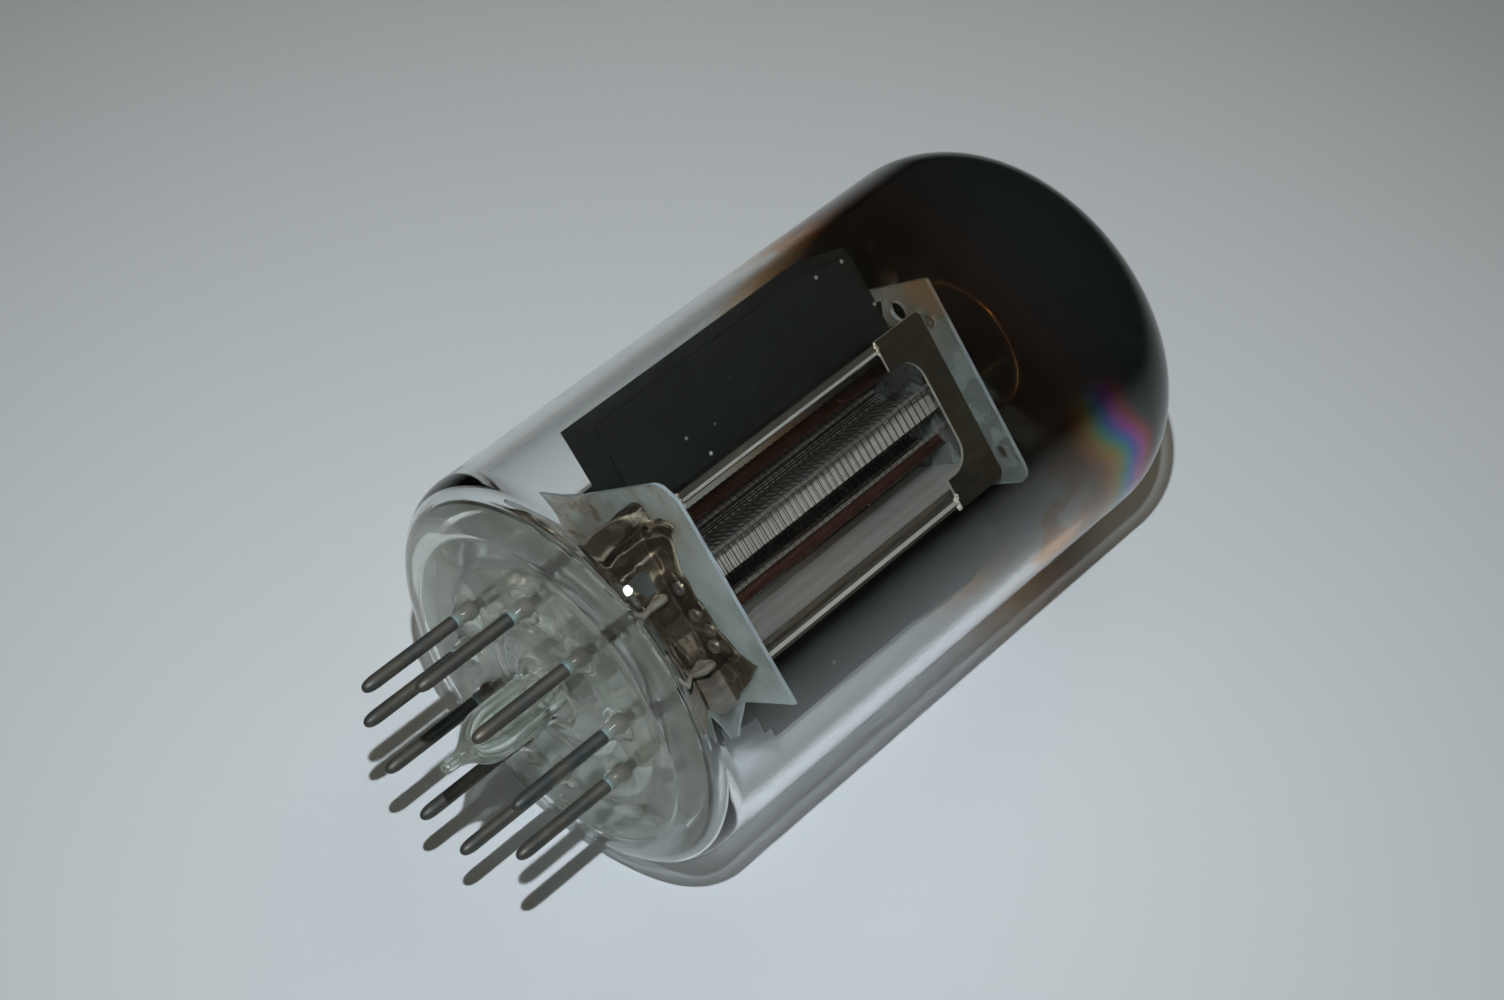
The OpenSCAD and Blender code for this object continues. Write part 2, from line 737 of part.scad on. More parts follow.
module shield_eyelets() {
    color([0.8, 0.78, 0.74])
        for (p = SHIELD_EYELETS, s = [-1, 1])
            translate([p.x, s * p.y, 0]) eyelet(bottom_mica_z - SHIELD_T, SHIELD_T + mica_t);
}

module top_eyelets() {
    color([0.8, 0.78, 0.74])
        for (p = TOP_EYELETS) translate([p.x, p.y, 0]) eyelet(top_mica_z, mica_t);
}

// Inner leads: each stands on its pin and ends flat against what it feeds.

function pin_top(index) = concat(on_circle(PIN_AZ[index - 1], PIN_CIRCLE_R), LEAD_Z);

module lead(index, points) {
    color([0.66, 0.63, 0.58]) wire(concat([pin_top(index)], points), LEAD_D);
}

module upright_lead(index, at, bend_z, top_z) {
    p = pin_top(index);
    lead(index, [[p.x, p.y, bend_z - 1], [at.x, at.y, bend_z + 0.8], [at.x, at.y, top_z]]);
}

module lead_1() { upright_lead(1, [anode_x, 0.6], 18.6, bottom_mica_z - TAB_LEN); }
module lead_2() { upright_lead(2, [COPPER_X, 0], 17.9, ROD_BOTTOM_Z); }
module lead_3() { upright_lead(3, [0, HEATER_Y[3]], 17.6, HEATER_LOW_Z); }
module lead_4() { upright_lead(4, [-0.55, 2.75], 17.9, ROD_BOTTOM_Z); }
module lead_5() { upright_lead(5, [-anode_x, 0.6], 18.6, bottom_mica_z - TAB_LEN); }
module lead_6() { upright_lead(6, [0, HEATER_Y[0]], 17.9, HEATER_LOW_Z); }

// A lead that hooks over at its top and ends against the shield's wall.
module hooked_lead(index, at, top_z) {
    p = pin_top(index);
    lead(index, [[p.x, p.y, 17.2], [at.x, at.y, 18.6], [at.x, at.y, top_z], [at.x, -SHIELD_Y, top_z]]);
}

module lead_7() { hooked_lead(7, [-2.7, -8.8], 21.6); }
module lead_8() { hooked_lead(8, [4.1, -9.6], 22); }

// A ribbon that bends out from its pin and up to the shield.
module lead_9() {
    low_z = LEAD_Z + RIBBON_T / 2;
    from_x = 5.4;
    ribbon_w = 3.3;
    side = [
        [-4.2, low_z], [-6.4, low_z], [-8.1, 18], [-8.3, 20.7], [-8, 22.3], [-8, bottom_mica_z - SHIELD_T]
    ];
    color([0.66, 0.63, 0.58])
        translate([from_x, 0, 0]) rotate([90, 0, 90]) linear_extrude(ribbon_w) folded_section(side, RIBBON_T);
}

// Getter

// A channel ring that opens towards the dome.
module getter_ring() {
    groove = 0.35;
    color([0.62, 0.5, 0.32])
        translate(RING_AT)
            rotate_extrude()
                difference() {
                    translate([ring_r - ring_d / 2, 0]) square([ring_d, ring_d]);
                    translate([ring_r - groove / 2, ring_d - groove]) square([groove, groove + EPS]);
                }
}

// Two wires stand on the mica, and a small saddle on each carries the ring.
module getter_supports() {
    wire_d = 0.5;
    saddle = [2, 1.2, 0.25];
    foot_z = top_mica_z + mica_t;
    color([0.7, 0.62, 0.5])
        for (az = RING_LEG_AZ)
            translate([RING_AT.x, RING_AT.y, 0]) rotate(az) translate([ring_r, 0, 0]) {
                translate([0, 0, foot_z]) cylinder(h = RING_AT.z - foot_z, d = wire_d);
                translate([-saddle.y / 2, -saddle.x / 2, RING_AT.z - saddle.z])
                    cube([saddle.y, saddle.x, saddle.z]);
            }
}

glass_bulb();
button_stem();
exhaust_tip();
getter_film();
pin(1);  // pin_1
pin(2);  // pin_2
pin(3);  // pin_3
pin(4);  // pin_4
pin(5);  // pin_5
pin(6);  // pin_6
pin(7);  // pin_7
pin(8);  // pin_8
pin(9);  // pin_9
bottom_mica();
top_mica();
anode_left();
anode_right();
left_fin_front();
left_fin_rear();
right_fin_front();
right_fin_rear();
end_frame(false, false);  // top_frame_front
end_frame(false, true);  // top_frame_rear
end_frame(true, false);  // bottom_frame_front
end_frame(true, true);  // bottom_frame_rear
control_grid_bars();
control_grid_winding();
screen_grid_rods();
screen_grid_winding();
copper_rods();
beam_plate();
cathode_sleeve();
cathode_strap();
heater();
shield(false);  // shield_front
shield(true);  // shield_rear
shield_eyelets();
top_eyelets();
lead_1();
lead_2();
lead_3();
lead_4();
lead_5();
lead_6();
lead_7();
lead_8();
lead_9();
getter_ring();
getter_supports();
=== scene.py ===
"""Power vacuum tube: the look of each piece, put together in the order of the real tube."""
import math
import random

import bpy
from mathutils import Matrix, Vector


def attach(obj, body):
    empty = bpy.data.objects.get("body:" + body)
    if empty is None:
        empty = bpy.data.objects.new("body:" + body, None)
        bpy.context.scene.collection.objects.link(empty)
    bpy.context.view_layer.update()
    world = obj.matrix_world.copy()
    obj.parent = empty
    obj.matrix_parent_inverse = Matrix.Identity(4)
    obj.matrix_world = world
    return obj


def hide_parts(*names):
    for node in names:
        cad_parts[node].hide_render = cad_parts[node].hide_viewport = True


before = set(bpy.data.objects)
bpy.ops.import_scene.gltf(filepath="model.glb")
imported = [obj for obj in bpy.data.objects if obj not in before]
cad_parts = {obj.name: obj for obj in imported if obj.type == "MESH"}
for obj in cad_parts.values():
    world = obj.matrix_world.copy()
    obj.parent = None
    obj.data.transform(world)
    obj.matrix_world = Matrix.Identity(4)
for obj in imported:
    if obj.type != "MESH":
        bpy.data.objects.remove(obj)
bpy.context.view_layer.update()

MM = 0.001
scene = bpy.context.scene

# ---- Camera ----
# A short telephoto lens at the pin end of the tube, a little to the left of its window.
# The tube lies on its side in the photo, so here the camera looks up from under the pins.
camera_data = bpy.data.cameras.new("camera")
camera_data.lens = 69.79
camera_data.sensor_width = 36
camera_data.clip_start = 0.01
camera_data.clip_end = 5
camera = bpy.data.objects.new("camera", camera_data)
scene.collection.objects.link(camera)
scene.camera = camera
to_right = Vector((0.46744, -0.56179, 0.682562))
to_top = Vector((-0.84562, -0.059043, 0.530511))
to_back = Vector((-0.257735, -0.82517, -0.50266))
camera.matrix_world = Matrix.LocRotScale(
    Vector((-68.616, -213.003, -90.763)) * MM,
    Matrix((to_right, to_top, to_back)).transposed().to_quaternion(),
    None,
)
scene.view_settings.view_transform = "Standard"


# ---- Table, floor and light ----
# The tube rests its side on a pale table, which is a plane one bulb radius from the axis, and a
# floor lies under the pins. Each is seen from its front only, so neither hides the tube.
def node(tree, kind, inputs=None, **settings):
    """A shader node. An input is a value or the socket that feeds it."""
    made = tree.nodes.new(kind)
    for name, value in settings.items():
        setattr(made, name, value)
    for name, value in (inputs or {}).items():
        if isinstance(value, bpy.types.NodeSocket):
            tree.links.new(value, made.inputs[name])
        else:
            made.inputs[name].default_value = value
    return made


def math_node(tree, operation, *values):
    """The result of a sum on values or sockets."""
    made = node(tree, "ShaderNodeMath", dict(enumerate(values)), operation=operation)
    return made.outputs[0]


def ramp(tree, factor, *stops, ease="LINEAR"):
    """Colours or values along a factor from 0 to 1."""
    made = node(tree, "ShaderNodeValToRGB", {"Fac": factor})
    made.color_ramp.interpolation = ease
    while len(made.color_ramp.elements) < len(stops):
        made.color_ramp.elements.new(0.5)
    for element, (position, shade) in zip(made.color_ramp.elements, stops):
        element.position = position
        element.color = (shade, shade, shade, 1) if isinstance(shade, (int, float)) else (*shade, 1)
    return made.outputs["Color"]


def mixed(tree, factor, a, b, blend="MIX"):
    """Two colours mixed by a factor."""
    made = node(tree, "ShaderNodeMix", data_type="RGBA", blend_type=blend)
    for index, value in ((0, factor), (6, a), (7, b)):
        if isinstance(value, bpy.types.NodeSocket):
            tree.links.new(value, made.inputs[index])
        elif index:
            made.inputs[index].default_value = (*value, 1)
        else:
            made.inputs[index].default_value = value
    return made.outputs[2]


def noise(tree, place, **inputs):
    """A cloudy value from 0 to 1. Its inputs are called by their own names, such as Scale."""
    return node(tree, "ShaderNodeTexNoise", {"Vector": place, **inputs}).outputs["Fac"]


def empty_material(name):
    """A new material with only its output node."""
    material = bpy.data.materials.new(name)
    material.use_nodes = True
    tree = material.node_tree
    tree.nodes.clear()
    out = node(tree, "ShaderNodeOutputMaterial")
    return material, tree, out.inputs["Surface"]


def straight_view(tree):
    """1 for a ray that comes from the camera with nothing but glass in between."""
    path = node(tree, "ShaderNodeLightPath")
    seen = math_node(tree, "MAXIMUM", path.outputs["Is Camera Ray"], path.outputs["Is Transmission Ray"])
    bounces = math_node(tree, "ADD", path.outputs["Glossy Depth"], path.outputs["Diffuse Depth"])
    return math_node(tree, "MULTIPLY", seen, math_node(tree, "LESS_THAN", bounces, 0.5))


def one_sided(name, shade, glow):
    """A diffuse surface that isn't there from behind, with a little light of its own to the camera."""
    material, tree, surface = empty_material(name)
    matt = node(tree, "ShaderNodeBsdfDiffuse", {"Color": shade(tree)})
    lit = node(tree, "ShaderNodeEmission", {"Color": (*glow, 1), "Strength": straight_view(tree)})
    both = node(tree, "ShaderNodeAddShader", {0: matt.outputs[0], 1: lit.outputs[0]})
    through = node(tree, "ShaderNodeBsdfTransparent")
    behind = node(tree, "ShaderNodeNewGeometry").outputs["Backfacing"]
    whole = node(tree, "ShaderNodeMixShader", {0: behind, 1: both.outputs[0], 2: through.outputs[0]})
    tree.links.new(whole.outputs[0], surface)
    return material


# Middle and half-light radius of the painted pool of flash light on the table, in metres.
LIT_MIDDLE = (-0.025, 0.01, 0.0)
LIT_REACH = 0.15


def table_painted_flash_pool(tree):
    """Pale grey laminate with a painted pool of flash light, which falls off outwards."""
    place = node(tree, "ShaderNodeTexCoord").outputs["Object"]
    away = node(tree, "ShaderNodeVectorMath", {0: place, 1: LIT_MIDDLE}, operation="DISTANCE")
    reaches = math_node(tree, "DIVIDE", away.outputs["Value"], LIT_REACH)
    cubed = math_node(tree, "POWER", reaches, 3.0)
    share = math_node(tree, "DIVIDE", 1.0, math_node(tree, "ADD", cubed, 1.0))
    return mixed(tree, share, (0.0, 0.0, 0.0), (0.62, 0.665, 0.67))


def floor_shade(tree):
    """The same laminate, even all over."""
    place = node(tree, "ShaderNodeTexCoord").outputs["Object"]
    mottle = noise(tree, place, Scale=30.0)
    return ramp(tree, mottle, (0.3, (0.6, 0.64, 0.66)), (0.7, (0.63, 0.67, 0.69)))


def plane(name, at, facing):
    """A staging plane that casts no shadow."""
    bpy.ops.object.select_all(action="DESELECT")
    bpy.ops.mesh.primitive_plane_add(size=PLANE_SIZE, location=at)
    made = bpy.context.object
    made.name = name
    made.rotation_mode = "QUATERNION"
    made.rotation_quaternion = Vector(facing).to_track_quat("Z", "Y")
    made.visible_shadow = False
    return made


BULB_R = 19.5
PLANE_SIZE = 1.2
PLANE_GAP = 0.05
TABLE_MIDDLE_Z = 45
table_side = Vector((0.7513, 0.66, 0)).normalized()
table_at = table_side * (BULB_R + PLANE_GAP) + Vector((0, 0, TABLE_MIDDLE_Z))
table = plane("table", table_at * MM, -table_side)
table.data.materials.append(one_sided("table_laminate_painted_light", table_painted_flash_pool, (0.0, 0.0, 0.0)))
floor = plane("floor", (0, 0, -PLANE_GAP * MM), (0, 0, 1))
floor.data.materials.append(one_sided("floor_laminate", floor_shade, (0.28, 0.3, 0.31)))
floor.visible_glossy = False
floor.visible_diffuse = False

# The room is pale to the camera, dark in mirrors and a little warm on matt surfaces.
world = bpy.data.worlds.new("room")
scene.world = world
world.use_nodes = True
room = world.node_tree
room.nodes.clear()
matt_ray = node(room, "ShaderNodeLightPath").outputs["Is Diffuse Ray"]
dim = mixed(room, matt_ray, (0.017, 0.017, 0.015), (0.068, 0.056, 0.036))
seen_air = mixed(room, straight_view(room), dim, (0.44, 0.48, 0.49))
air = node(room, "ShaderNodeBackground", {"Color": seen_air})
node(room, "ShaderNodeOutputWorld", {"Surface": air.outputs[0]})

TUBE_MIDDLE = (0, 0, 40)


def lamp(name, kind, at, power, shade, **settings):
    """A lamp at a place in millimetres, aimed at the middle of the tube."""
    data = bpy.data.lights.new(name, kind)
    data.energy = power
    data.color = shade
    for key, value in settings.items():
        setattr(data, key, value)
    made = bpy.data.objects.new(name, data)
    made.location = Vector(at) * MM
    made.rotation_mode = "QUATERNION"
    made.rotation_quaternion = (Vector(TUBE_MIDDLE) - Vector(at)).to_track_quat("-Z", "Y")
    scene.collection.objects.link(made)
    return made


NEAR_LAMP_R = 2.2
FILL_SIZE = 300
near_lamp = lamp(
    "near_lamp", "POINT", (-128.9, -217.6, -61.8), 2.8, (0.88, 0.93, 1.0),
    shadow_soft_size=NEAR_LAMP_R * MM,
)
fill = lamp(
    "soft_fill", "AREA", (-420, -300, 330), 0.26, (1.0, 0.86, 0.66), shape="DISK", size=FILL_SIZE * MM,
)
back = lamp(
    "back_fill", "AREA", (420, 330, 260), 0.9, (1.0, 0.9, 0.78), shape="DISK", size=FILL_SIZE * MM,
)
for soft in (fill, back):
    soft.visible_glossy = False
    soft.visible_transmission = False

# The face of the lamp, which is only there for what mirrors it. It is tall, because the rounded
# heel of the glass shortens what it mirrors.
FACE_R = 11
FACE_STRETCH = 5
bpy.ops.object.select_all(action="DESELECT")
bpy.ops.mesh.primitive_circle_add(
    vertices=48, radius=FACE_R * MM, fill_type="NGON", location=near_lamp.location,
)
lamp_face = bpy.context.object
lamp_face.name = "lamp_face"
lamp_face.rotation_mode = "QUATERNION"
lamp_face.rotation_quaternion = near_lamp.rotation_quaternion
lamp_face.scale = (1, FACE_STRETCH, 1)
lit, tree, surface = empty_material("lamp_face")
glow = node(tree, "ShaderNodeEmission", {"Color": (1, 1, 1, 1), "Strength": 25.0})
tree.links.new(glow.outputs[0], surface)
lamp_face.data.materials.append(lit)
lamp_face.visible_camera = False
lamp_face.visible_diffuse = False
lamp_face.visible_transmission = False
lamp_face.visible_shadow = False


# ---- Glass envelope ----
# One piece of glass when it is done: the blown bulb, the pressed button that the pins go through
# and the drawn-off end of the pumping stem, all run together in the flame.
def line(name, points):
    """A line of vertices drawn point by point, in millimetres."""
    bpy.ops.object.select_all(action="DESELECT")
    bpy.ops.mesh.primitive_plane_add(size=MM)
    piece = bpy.context.object
    piece.name = name
    bpy.ops.object.mode_set(mode="EDIT")
    bpy.ops.mesh.merge(type="CENTER")
    bpy.ops.transform.translate(value=Vector(points[0]) * MM)
    for before, point in zip(points, points[1:]):
        step = (Vector(point) - Vector(before)) * MM
        bpy.ops.mesh.extrude_vertices_move(TRANSFORM_OT_translate={"value": step})
    bpy.ops.object.mode_set(mode="OBJECT")
    return piece


def lathe(name, section, steps):
    """Spins a half section, drawn as (radius, height), round the axis."""
    piece = line(name, [(radius, 0, height) for radius, height in section])
    bpy.ops.object.mode_set(mode="EDIT")
    bpy.ops.mesh.select_all(action="SELECT")
    bpy.ops.mesh.spin(steps=steps, angle=2 * math.pi, center=(0, 0, 0), axis=(0, 0, 1))
    bpy.ops.mesh.select_all(action="SELECT")
    bpy.ops.mesh.remove_doubles(threshold=0.0002 * MM)
    bpy.ops.mesh.normals_make_consistent(inside=False)
    bpy.ops.object.mode_set(mode="OBJECT")
    bpy.ops.object.shade_smooth()
    return piece


def arc(centre, radius, start, end, count):
    """Points of an arc in the half section, from one angle to another."""
    angles = [math.radians(start + (end - start) * i / count) for i in range(count + 1)]
    return [(centre[0] + radius * math.cos(a), centre[1] + radius * math.sin(a)) for a in angles]


def smoothed(points, rounds=2):
    """Cuts the corners of an open line twice, so that it reads as flame-polished."""
    for _ in range(rounds):
        cut = [points[0]]
        for (ax, ay), (bx, by) in zip(points, points[1:]):
            cut.append((0.75 * ax + 0.25 * bx, 0.75 * ay + 0.25 * by))
            cut.append((0.25 * ax + 0.75 * bx, 0.25 * ay + 0.75 * by))
        points = cut + [points[-1]]
    return points


def select_only(piece):
    """Selects one piece and makes it the active one."""
    bpy.ops.object.select_all(action="DESELECT")
    piece.select_set(True)
    bpy.context.view_layer.objects.active = piece


def joined(pieces):
    """Joins pieces into the first of them and applies its place."""
    bpy.ops.object.select_all(action="DESELECT")
    for piece in pieces:
        piece.select_set(True)
    bpy.context.view_layer.objects.active = pieces[0]
    bpy.ops.object.join()
    bpy.ops.object.transform_apply(location=True, rotation=True, scale=True)
    return pieces[0]


def turned_inside_out(piece):
    """Points the faces of a hollow inwards."""
    select_only(piece)
    bpy.ops.object.mode_set(mode="EDIT")
    bpy.ops.mesh.select_all(action="SELECT")
    bpy.ops.mesh.flip_normals()
    bpy.ops.object.mode_set(mode="OBJECT")
    return piece


CROWN_Z = 9.0
CROWN_R = 70.0
SHOULDER_R = 8.6
SHOULDER_X = BULB_R - SHOULDER_R
SHOULDER_Z = CROWN_Z + math.sqrt((CROWN_R - SHOULDER_R) ** 2 - SHOULDER_X ** 2)
CROWN_ANGLE = math.degrees(math.atan2(SHOULDER_Z - CROWN_Z, SHOULDER_X))
HEEL_R = 3.7
HEEL_Z = 15.7
GLASS_T = 1.2
BUTTON_Z = 12.0
TIP_JOIN_R = 5.2
BUTTON_BAND = 0.2
BUTTON_BANDS = 40
WALL_BANDS = 24
PIN_CIRCLE_R = 9.525
PIN_TURNS = (30, 60, 90, 120, 150, 210, 250, 290, 330)


def dome(inset, bands):
    """The half section of the dome, from the wall up to the axis."""
    return (
        arc((SHOULDER_X, SHOULDER_Z), SHOULDER_R - inset, 0, CROWN_ANGLE, bands)
        + arc((0, CROWN_Z), CROWN_R - inset, CROWN_ANGLE, 90, bands)[1:-1]
        + [(0, CROWN_Z + CROWN_R - inset)]
    )


tip_outside = smoothed([
    (0, 0.35), (0.35, 0.42), (0.56, 0.75), (0.6, 1.25), (0.62, 1.9), (0.82, 2.6), (1.28, 3.3),
    (1.85, 3.95), (2.25, 4.7), (2.42, 5.6), (2.45, 7.0), (2.42, 9.6), (2.5, 10.6), (2.75, 11.3),
    (3.3, 11.8), (4.0, BUTTON_Z), (TIP_JOIN_R, BUTTON_Z),
])
button_lip = smoothed([
    (13.3, BUTTON_Z), (14.4, BUTTON_Z), (14.8, 12.05), (15.1, 12.1), (15.4, 12.05),
    (15.6, BUTTON_Z), (15.8, BUTTON_Z),
])
glass_outside = (
    tip_outside
    + [(TIP_JOIN_R + BUTTON_BAND * i, BUTTON_Z) for i in range(1, BUTTON_BANDS + 1)]
    + button_lip
    + arc((BULB_R - HEEL_R, HEEL_Z), HEEL_R, -90, 0, 14)[1:]
    + [(BULB_R, HEEL_Z + (SHOULDER_Z - HEEL_Z) * i / WALL_BANDS) for i in range(1, WALL_BANDS)]
    + dome(0, WALL_BANDS)
)
WALL_R = BULB_R - GLASS_T
CORNER_R = 1.0
FLOOR_R = WALL_R - CORNER_R
FLOOR_Z = 13.9
CORNER_Z = FLOOR_Z + CORNER_R
tip_inside = smoothed([
    (0, 4.1), (0.4, 4.25), (0.85, 4.75), (1.2, 5.5), (1.38, 6.5), (1.4, 8.0), (1.4, 10.6), (1.4, 14.0),
    (1.5, 14.3), (1.9, 14.75), (2.6, 14.8),
])
button_inside = smoothed([
    (2.6, 14.8), (4.5, 14.82), (6.4, 14.85), (6.9, 15.2), (7.4, 15.8), (8.0, 15.9), (9.5, 15.9),
    (11.0, 15.9), (11.8, 15.85), (12.3, 15.2), (13.2, 14.8), (14.4, 14.2), (15.8, FLOOR_Z),
    (FLOOR_R, FLOOR_Z),
])
glass_inside = (
    tip_inside
    + button_inside[1:]
    + arc((FLOOR_R, CORNER_Z), CORNER_R, -90, 0, 8)[1:]
    + [(WALL_R, CORNER_Z + (SHOULDER_Z - CORNER_Z) * i / WALL_BANDS) for i in range(1, WALL_BANDS)]
    + dome(GLASS_T, WALL_BANDS)
)
OUTSIDE_STEPS = 360
INSIDE_STEPS = 180
glass = lathe("glass_envelope", glass_outside, OUTSIDE_STEPS)

# A bead of glass runs a short way down the outside of every pin.
pin_angles = [math.radians(turn) for turn in PIN_TURNS]
pin_spots = [Vector((math.cos(angle), math.sin(angle))) * PIN_CIRCLE_R for angle in pin_angles]
BEAD_INNER_R = 0.62
BEAD_REACH = 2.1
BEAD_DROP = 1.75
BEAD_ZONE = (6, 13)
OUTER_FACE_Z = 12.6
for v in glass.data.vertices:
    place = v.co / MM
    if BEAD_ZONE[0] < place.xy.length < BEAD_ZONE[1] and place.z < OUTER_FACE_Z:
        nearest = min((place.xy - spot).length for spot in pin_spots)
        climb = max(0.0, 1 - max(0.0, nearest - BEAD_INNER_R) / (BEAD_REACH - BEAD_INNER_R))
        v.co.z -= BEAD_DROP * MM * climb ** 3
hollow = turned_inside_out(lathe("glass_hollow", glass_inside, INSIDE_STEPS))

# Seeds: small bubbles in the solid end of the tip, and in clusters in the button.
chance = random.Random(7)
seeds = [((0.0, 0.0, 1.05), 0.2), ((0.15, -0.25, 3.55), 0.26)]
CLUSTERS = ((-3.3, 1.7), (3.5, -0.4), (7.2, 9.5), (11.4, 7.6), (0.5, 9.4))
CLUSTER_SPREAD = 0.65
SEEDS_PER_CLUSTER = 16
FINE_SEEDS = 40
for middle_x, middle_y in CLUSTERS:
    for _ in range(SEEDS_PER_CLUSTER):
        x = middle_x + chance.gauss(0, CLUSTER_SPREAD)
        y = middle_y + chance.gauss(0, CLUSTER_SPREAD)
        seeds.append(((x, y, chance.uniform(12.4, 13.0)), chance.uniform(0.09, 0.22)))
for _ in range(FINE_SEEDS):
    turn, reach = chance.uniform(0, 2 * math.pi), chance.uniform(2.9, 13.2)
    at = (reach * math.cos(turn), reach * math.sin(turn), chance.uniform(12.5, 13.8))
    seeds.append((at, chance.uniform(0.03, 0.08)))
bubbles = []
for at, radius in seeds:
    bpy.ops.mesh.primitive_ico_sphere_add(subdivisions=2, radius=radius * MM, location=Vector(at) * MM)
    bpy.ops.object.shade_smooth()
    bubbles.append(bpy.context.object)
joined([glass, hollow, turned_inside_out(joined(bubbles))])


def glass_finish(name, tint, rough, clouded, passing):
    """Glass that lamps shine through, less where its wall is edge on. Some of it may be clouded.

    passing is the share of light that gets through a wall seen square on, aslant and edge on.
    """
    material, tree, surface = empty_material(name)
    blown = node(tree, "ShaderNodeBsdfPrincipled", {
        "Base Color": (*tint, 1), "Roughness": rough, "IOR": 1.5, "Transmission Weight": 1.0,
    })
    seen = blown
    if clouded:
        place = node(tree, "ShaderNodeTexCoord").outputs["Object"]
        swirl = noise(tree, place, Scale=170.0, Detail=5.0, Distortion=0.8)
        cloudy = ramp(tree, swirl, (0.3, (0.4, 0.43, 0.35)), (0.7, (0.78, 0.83, 0.71)))
        milk = node(tree, "ShaderNodeBsdfDiffuse", {"Color": cloudy})
        seen = node(tree, "ShaderNodeMixShader", {0: clouded, 1: blown.outputs[0], 2: milk.outputs[0]})
    edge_on = node(tree, "ShaderNodeLayerWeight", {"Blend": 0.35}).outputs["Facing"]
    shadow_tint = ramp(tree, edge_on, *zip((0.0, 0.35, 0.8), passing))
    shadow = node(tree, "ShaderNodeBsdfTransparent", {"Color": shadow_tint})
    is_shadow = node(tree, "ShaderNodeLightPath").outputs["Is Shadow Ray"]
    whole = node(tree, "ShaderNodeMixShader", {0: is_shadow, 1: seen.outputs[0], 2: shadow.outputs[0]})
    tree.links.new(whole.outputs[0], surface)
    return material


# The blown wall is clear. The pressed button is greenish and clouded, out to the groove at its rim.
GROOVE_AT_R = 15.3
INNER_FACE_Z = 16.2
TIP_ZONE_R = 2.7
TIP_ZONE_Z = 14
CLEAR, BUTTON, TIP = range(3)
for name, tint, rough, clouded, passing in (
    ("clear_glass", (0.955, 0.97, 0.965), 0.0, 0, (0.84, 0.72, 0.1)),
    ("button_glass", (0.88, 0.92, 0.86), 0.07, 0.17, (0.4, 0.33, 0.08)),
    ("tip_glass", (0.84, 0.9, 0.86), 0.05, 0.1, (0.4, 0.3, 0.05)),
):
    glass.data.materials.append(glass_finish(name, tint, rough, clouded, passing))
for face in glass.data.polygons:
    reach, level = face.center.xy.length / MM, face.center.z / MM
    outer = level < OUTER_FACE_Z and reach < GROOVE_AT_R
    inner = OUTER_FACE_Z <= level < INNER_FACE_Z and reach < FLOOR_R
    tip = reach < TIP_ZONE_R and level < TIP_ZONE_Z
    face.material_index = TIP if tip else BUTTON if outer or inner else CLEAR
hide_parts("glass_bulb", "button_stem", "exhaust_tip")
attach(glass, "root")


# ---- Getter film ----
# Metal flashed from the ring inside the dome. It is a black mirror at the top, and thins out
# downwards through rainbow colours and brown to clear glass, further down on some sides.
FILM_IN_GLASS = 0.03
FILM_R = WALL_R + FILM_IN_GLASS
FILM_LOW_Z = 47.0
film_band = (SHOULDER_Z - FILM_LOW_Z) / WALL_BANDS
film_wall = [(FILM_R, FILM_LOW_Z + film_band * i) for i in range(WALL_BANDS)]
film = lathe("getter_mirror", film_wall + dome(GLASS_T - FILM_IN_GLASS, 20), INSIDE_STEPS)
mirror, tree, surface = empty_material("getter_mirror")
place = node(tree, "ShaderNodeTexCoord").outputs["Object"]
axes = node(tree, "ShaderNodeSeparateXYZ", {0: place})
turn = math_node(tree, "ARCTAN2", axes.outputs["Y"], axes.outputs["X"])
share = math_node(tree, "MULTIPLY_ADD", turn, 1 / (2 * math.pi), 0.5)

# The height of the film's edge at shares of a turn, which start at the left and pass the window.
EDGE_BASE, EDGE_SPAN = 60.0, 12.0
EDGE_HEIGHTS = (
    (0.0, 67.6), (0.04, 67.1), (0.11, 64.2), (0.16, 63.2), (0.205, 63.4), (0.25, 64.4), (0.30, 65.6),
    (0.36, 69.0), (0.42, 70.0), (0.5, 68.0), (0.6, 63.0), (0.7, 60.5), (0.8, 61.0), (0.9, 65.0),
    (1.0, 67.6),
)
edge_stops = [(share_at, (z - EDGE_BASE) / EDGE_SPAN) for share_at, z in EDGE_HEIGHTS]
edge = ramp(tree, share, *edge_stops, ease="EASE")
edge_mm = math_node(tree, "MULTIPLY_ADD", edge, EDGE_SPAN, EDGE_BASE)
height_mm = math_node(tree, "MULTIPLY", axes.outputs["Z"], 1000)
WANDER = 1.2
cloud = noise(tree, place, Scale=90.0, Detail=3.0)
wander = math_node(tree, "MULTIPLY_ADD", cloud, 2 * WANDER, -WANDER)
above = math_node(tree, "ADD", math_node(tree, "SUBTRACT", height_mm, edge_mm), wander)

